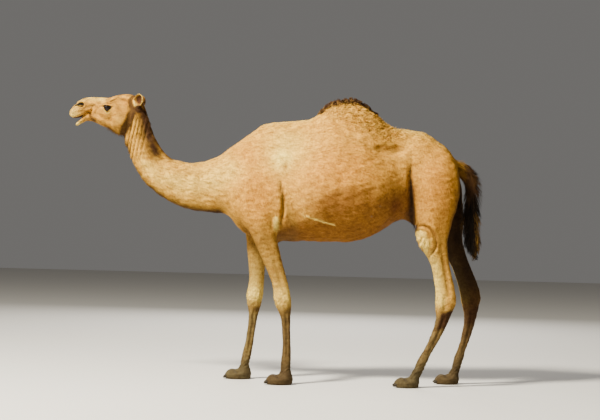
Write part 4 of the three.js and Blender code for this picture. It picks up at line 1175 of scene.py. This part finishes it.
class Finish:
    """One material, made node by node."""

    def __init__(self, name, **constant):
        self.material = bpy.data.materials.new(name)
        self.material.use_nodes = True
        self.nodes, self.links = self.material.node_tree.nodes, self.material.node_tree.links
        self.surface = self.nodes["Principled BSDF"]
        for key, value in constant.items():
            self.surface.inputs[key.replace("_", " ")].default_value = value
        self.place = self.node("ShaderNodeTexCoord").outputs["Object"]

    def node(self, kind, settings=(), inputs=()):
        made = self.nodes.new(kind)
        for key, value in dict(settings).items():
            setattr(made, key, value)
        for key, value in dict(inputs).items():
            self.plug(made.inputs[key], value)
        return made

    def plug(self, socket, value):
        if isinstance(value, Level):
            value = value.socket
        if isinstance(value, bpy.types.NodeSocket):
            self.links.new(value, socket)
        elif isinstance(value, tuple) and len(value) == 3 and socket.type == "RGBA":
            socket.default_value = (*value, 1)
        else:
            socket.default_value = value

    def count(self, operation, *values):
        return Level(self, self.node("ShaderNodeMath", {"operation": operation}, dict(enumerate(values))).outputs[0])

    def kept(self, value):
        return Level(self, self.node("ShaderNodeClamp", {}, {"Value": value}).outputs[0])

    def blend(self, share, first, second, how="MIX"):
        mixed = self.node("ShaderNodeMix", {"data_type": "RGBA", "blend_type": how}, {"Factor": share})
        for key, value in ((6, first), (7, second)):
            self.plug(mixed.inputs[key], value)
        return mixed.outputs[2]

    def painted(self, name):
        return Level(self, self.node("ShaderNodeAttribute", {"attribute_name": name}).outputs["Fac"])

    def stretched(self, turn=(0, 0, 0), scale=(1, 1, 1)):
        return self.node("ShaderNodeMapping", {}, {"Vector": self.place, "Rotation": turn, "Scale": scale}).outputs[0]

    def cloud(self, size, detail=3.0, rough=0.55, place=None, warp=0.0):
        made = self.node("ShaderNodeTexNoise", {}, {"Vector": place or self.place, "Scale": 1 / size, "Detail": detail,
                                                    "Roughness": rough, "Distortion": warp})
        return Level(self, made.outputs["Fac"])

    def bump(self, height, distance, under=None):
        made = self.node("ShaderNodeBump", {}, {"Height": height, "Distance": distance, "Strength": 1.0})
        if under is not None:
            self.plug(made.inputs["Normal"], under)
        return made.outputs[0]

    def show(self, **sockets):
        for key, value in sockets.items():
            self.plug(self.surface.inputs[key.replace("_", " ")], value)


SAND, BRIGHT_SAND = (0.66, 0.355, 0.044), (0.72, 0.405, 0.070)
PAINTS = [  # each marking over the sand, painted shade among them: its colour and how rough its edge is
    ("tawny", (0.585, 0.268, 0.029), 0.6), ("flush", (0.175, 0.062, 0.013), 0.3), ("pale", (1.0, 0.760, 0.170), 0.4),
    ("dust", (0.125, 0.092, 0.038), 0.5), ("mud", (0.072, 0.056, 0.026), 0.5), ("brown", (0.075, 0.028, 0.010), 0.2),
    ("umber", (0.045, 0.020, 0.007), 0.7), ("ink", (0.010, 0.007, 0.005), 0.2),
]


def coat_colour(finish):
    """The camel's markings, the same on the skin and on every lock."""
    patchy = finish.cloud(0.11, 4, 0.6)
    fine = finish.cloud(0.012, 2, 0.6)
    edge = (patchy - 0.5) * 0.55
    mottle = finish.cloud(0.026, 3, 0.6, finish.stretched(scale=(0.65, 1, 1)))
    colour = finish.blend(finish.kept(patchy * 1.8 - 0.5), SAND, BRIGHT_SAND)
    for name, tint, rough_edge in PAINTS:
        share = finish.painted(name)
        share = finish.kept(share + edge * rough_edge * share * (2 - share * 1.2))
        colour = finish.blend(share, colour, tint)
    # each lock's own random tone and random mottling, and its height, which makes the roots darker as painted shade
    light = finish.kept(finish.painted("strand") * 0.50 + finish.painted("tip") * 0.22 + (fine - 0.5) * 1.2
                        + (mottle - 0.5) * 1.45 + 0.26)
    return finish.blend(1.0, colour, finish.blend(light, (0.50, 0.37, 0.24), (1.18, 1.17, 1.10)), "MULTIPLY")


def coat_finish(name, grain):
    finish = Finish(name, Roughness=0.85, Specular_IOR_Level=0.12)
    combed = finish.cloud(1.0, 3, 0.6, finish.stretched((0, math.radians(38), 0), (55, 260, 260)), 0.4)
    knots = finish.cloud(0.020, 3, 0.55, warp=0.6)
    under = finish.bump(knots, 0.004 * grain)
    finish.show(Base_Color=coat_colour(finish), Normal=finish.bump(combed, 0.003 * grain, under=under))
    return finish.material


def eye_finish():
    finish = Finish("wet_eye", Roughness=0.25, Coat_Weight=0.16, Coat_Roughness=0.04, Specular_IOR_Level=0.1)
    ahead, up = finish.painted("iris_ahead"), finish.painted("iris_up")
    out = finish.count("SQRT", ahead * ahead + up * up)
    spoke = finish.cloud(0.0022, 4, 0.7)
    iris = finish.blend(finish.kept(spoke * 1.5 - 0.25), (0.006, 0.003, 0.002), (0.018, 0.008, 0.004))
    rim = finish.kept((out - 0.62) * 9)
    iris = finish.blend(rim, iris, (0.012, 0.008, 0.007))
    pupil = finish.kept((1.0 - (ahead * ahead * 4.2 + up * up * 16.0)) * 6)
    iris = finish.blend(pupil, iris, (0.003, 0.003, 0.004))
    white = finish.kept((out - 0.90) * 12)
    finish.show(Base_Color=finish.blend(white, iris, (0.05, 0.028, 0.020)))
    return finish.material


def nail_finish():
    finish = Finish("toe_horn", Roughness=0.7, Specular_IOR_Level=0.12)
    layers = finish.cloud(1.0, 3, 0.6, finish.stretched(scale=(90, 90, 420)))
    dusty = finish.cloud(0.02, 4, 0.6)
    colour = finish.blend(layers, (0.010, 0.008, 0.006), (0.022, 0.017, 0.012))
    finish.show(Base_Color=finish.blend(finish.kept(dusty * 1.8 - 0.6), colour, (0.050, 0.040, 0.025)),
                Normal=finish.bump(layers, 0.0012), Roughness=0.62 + dusty * 0.3)
    return finish.material


eye_paint, nail_paint = eye_finish(), nail_finish()
for ball in eyes:
    ball.data.materials.append(eye_paint)
for nail in nails:
    nail.data.materials.append(nail_paint)
skin.data.materials.append(coat_finish("camel_skin", 1.0))
lock_paint = coat_finish("camel_hair", 0.15)
for coat in coats:
    coat.data.materials.append(lock_paint)
    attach(coat, "root")
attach(skin, "root")
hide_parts(*sorted(set(HEAD_FLESH + BODY_FLESH) - {"left_eye", "right_eye"}))

# ------------------------------------------------------------------ floor, light and camera
let_go()
bpy.ops.mesh.primitive_plane_add(size=60, location=(0, 0, 0))
floor = made_here("floor")
floor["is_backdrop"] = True
floor.data.materials.append(Finish("pale_floor", Base_Color=(0.62, 0.60, 0.56, 1), Roughness=0.9).material)


def lamp(name, place, target, power, size, tint):
    let_go()
    bpy.ops.object.light_add(type="AREA", location=place)
    made = bpy.context.object
    made.name = name
    made.rotation_euler = (Vector(target) - Vector(place)).to_track_quat("-Z", "Y").to_euler()
    made.data.energy, made.data.size, made.data.color = power, size, tint


lamp("key", (-4.1, -4.4, 7.1), (0, 0, 1.1), 3150, 1.4, (1.0, 0.94, 0.80))
lamp("fill", (5.0, -6.0, 2.5), (0, 0, 1.0), 18, 5.0, (1.0, 0.96, 0.90))
lamp("back", (0.5, 8.0, 4.6), (0, 0, 1.2), 520, 4.0, (1.0, 0.97, 0.93))
world = bpy.data.worlds.new("studio")
bpy.context.scene.world = world
world.use_nodes = True
world.node_tree.nodes["Background"].inputs["Color"].default_value = (0.95, 0.92, 0.88, 1)
world.node_tree.nodes["Background"].inputs["Strength"].default_value = 0.17

let_go()
FAR_OFF, DOT, SENSOR = 10, 0.0069, 36  # metres to the camel, metres of it in one dot of the picture, mm
bpy.ops.object.camera_add(location=(0.162, -FAR_OFF, 0.98))
camera = bpy.context.object
camera.data.sensor_width = SENSOR
camera.data.lens = SENSOR * FAR_OFF / (600 * DOT)
tip_up = math.atan(30 * DOT / FAR_OFF)
camera.rotation_mode = "QUATERNION"
camera.rotation_quaternion = (
    Matrix.Rotation(math.radians(90) + tip_up, 3, "X") @ Matrix.Rotation(math.radians(1.5), 3, "Z")
).to_quaternion()
bpy.context.scene.camera = camera

low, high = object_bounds()
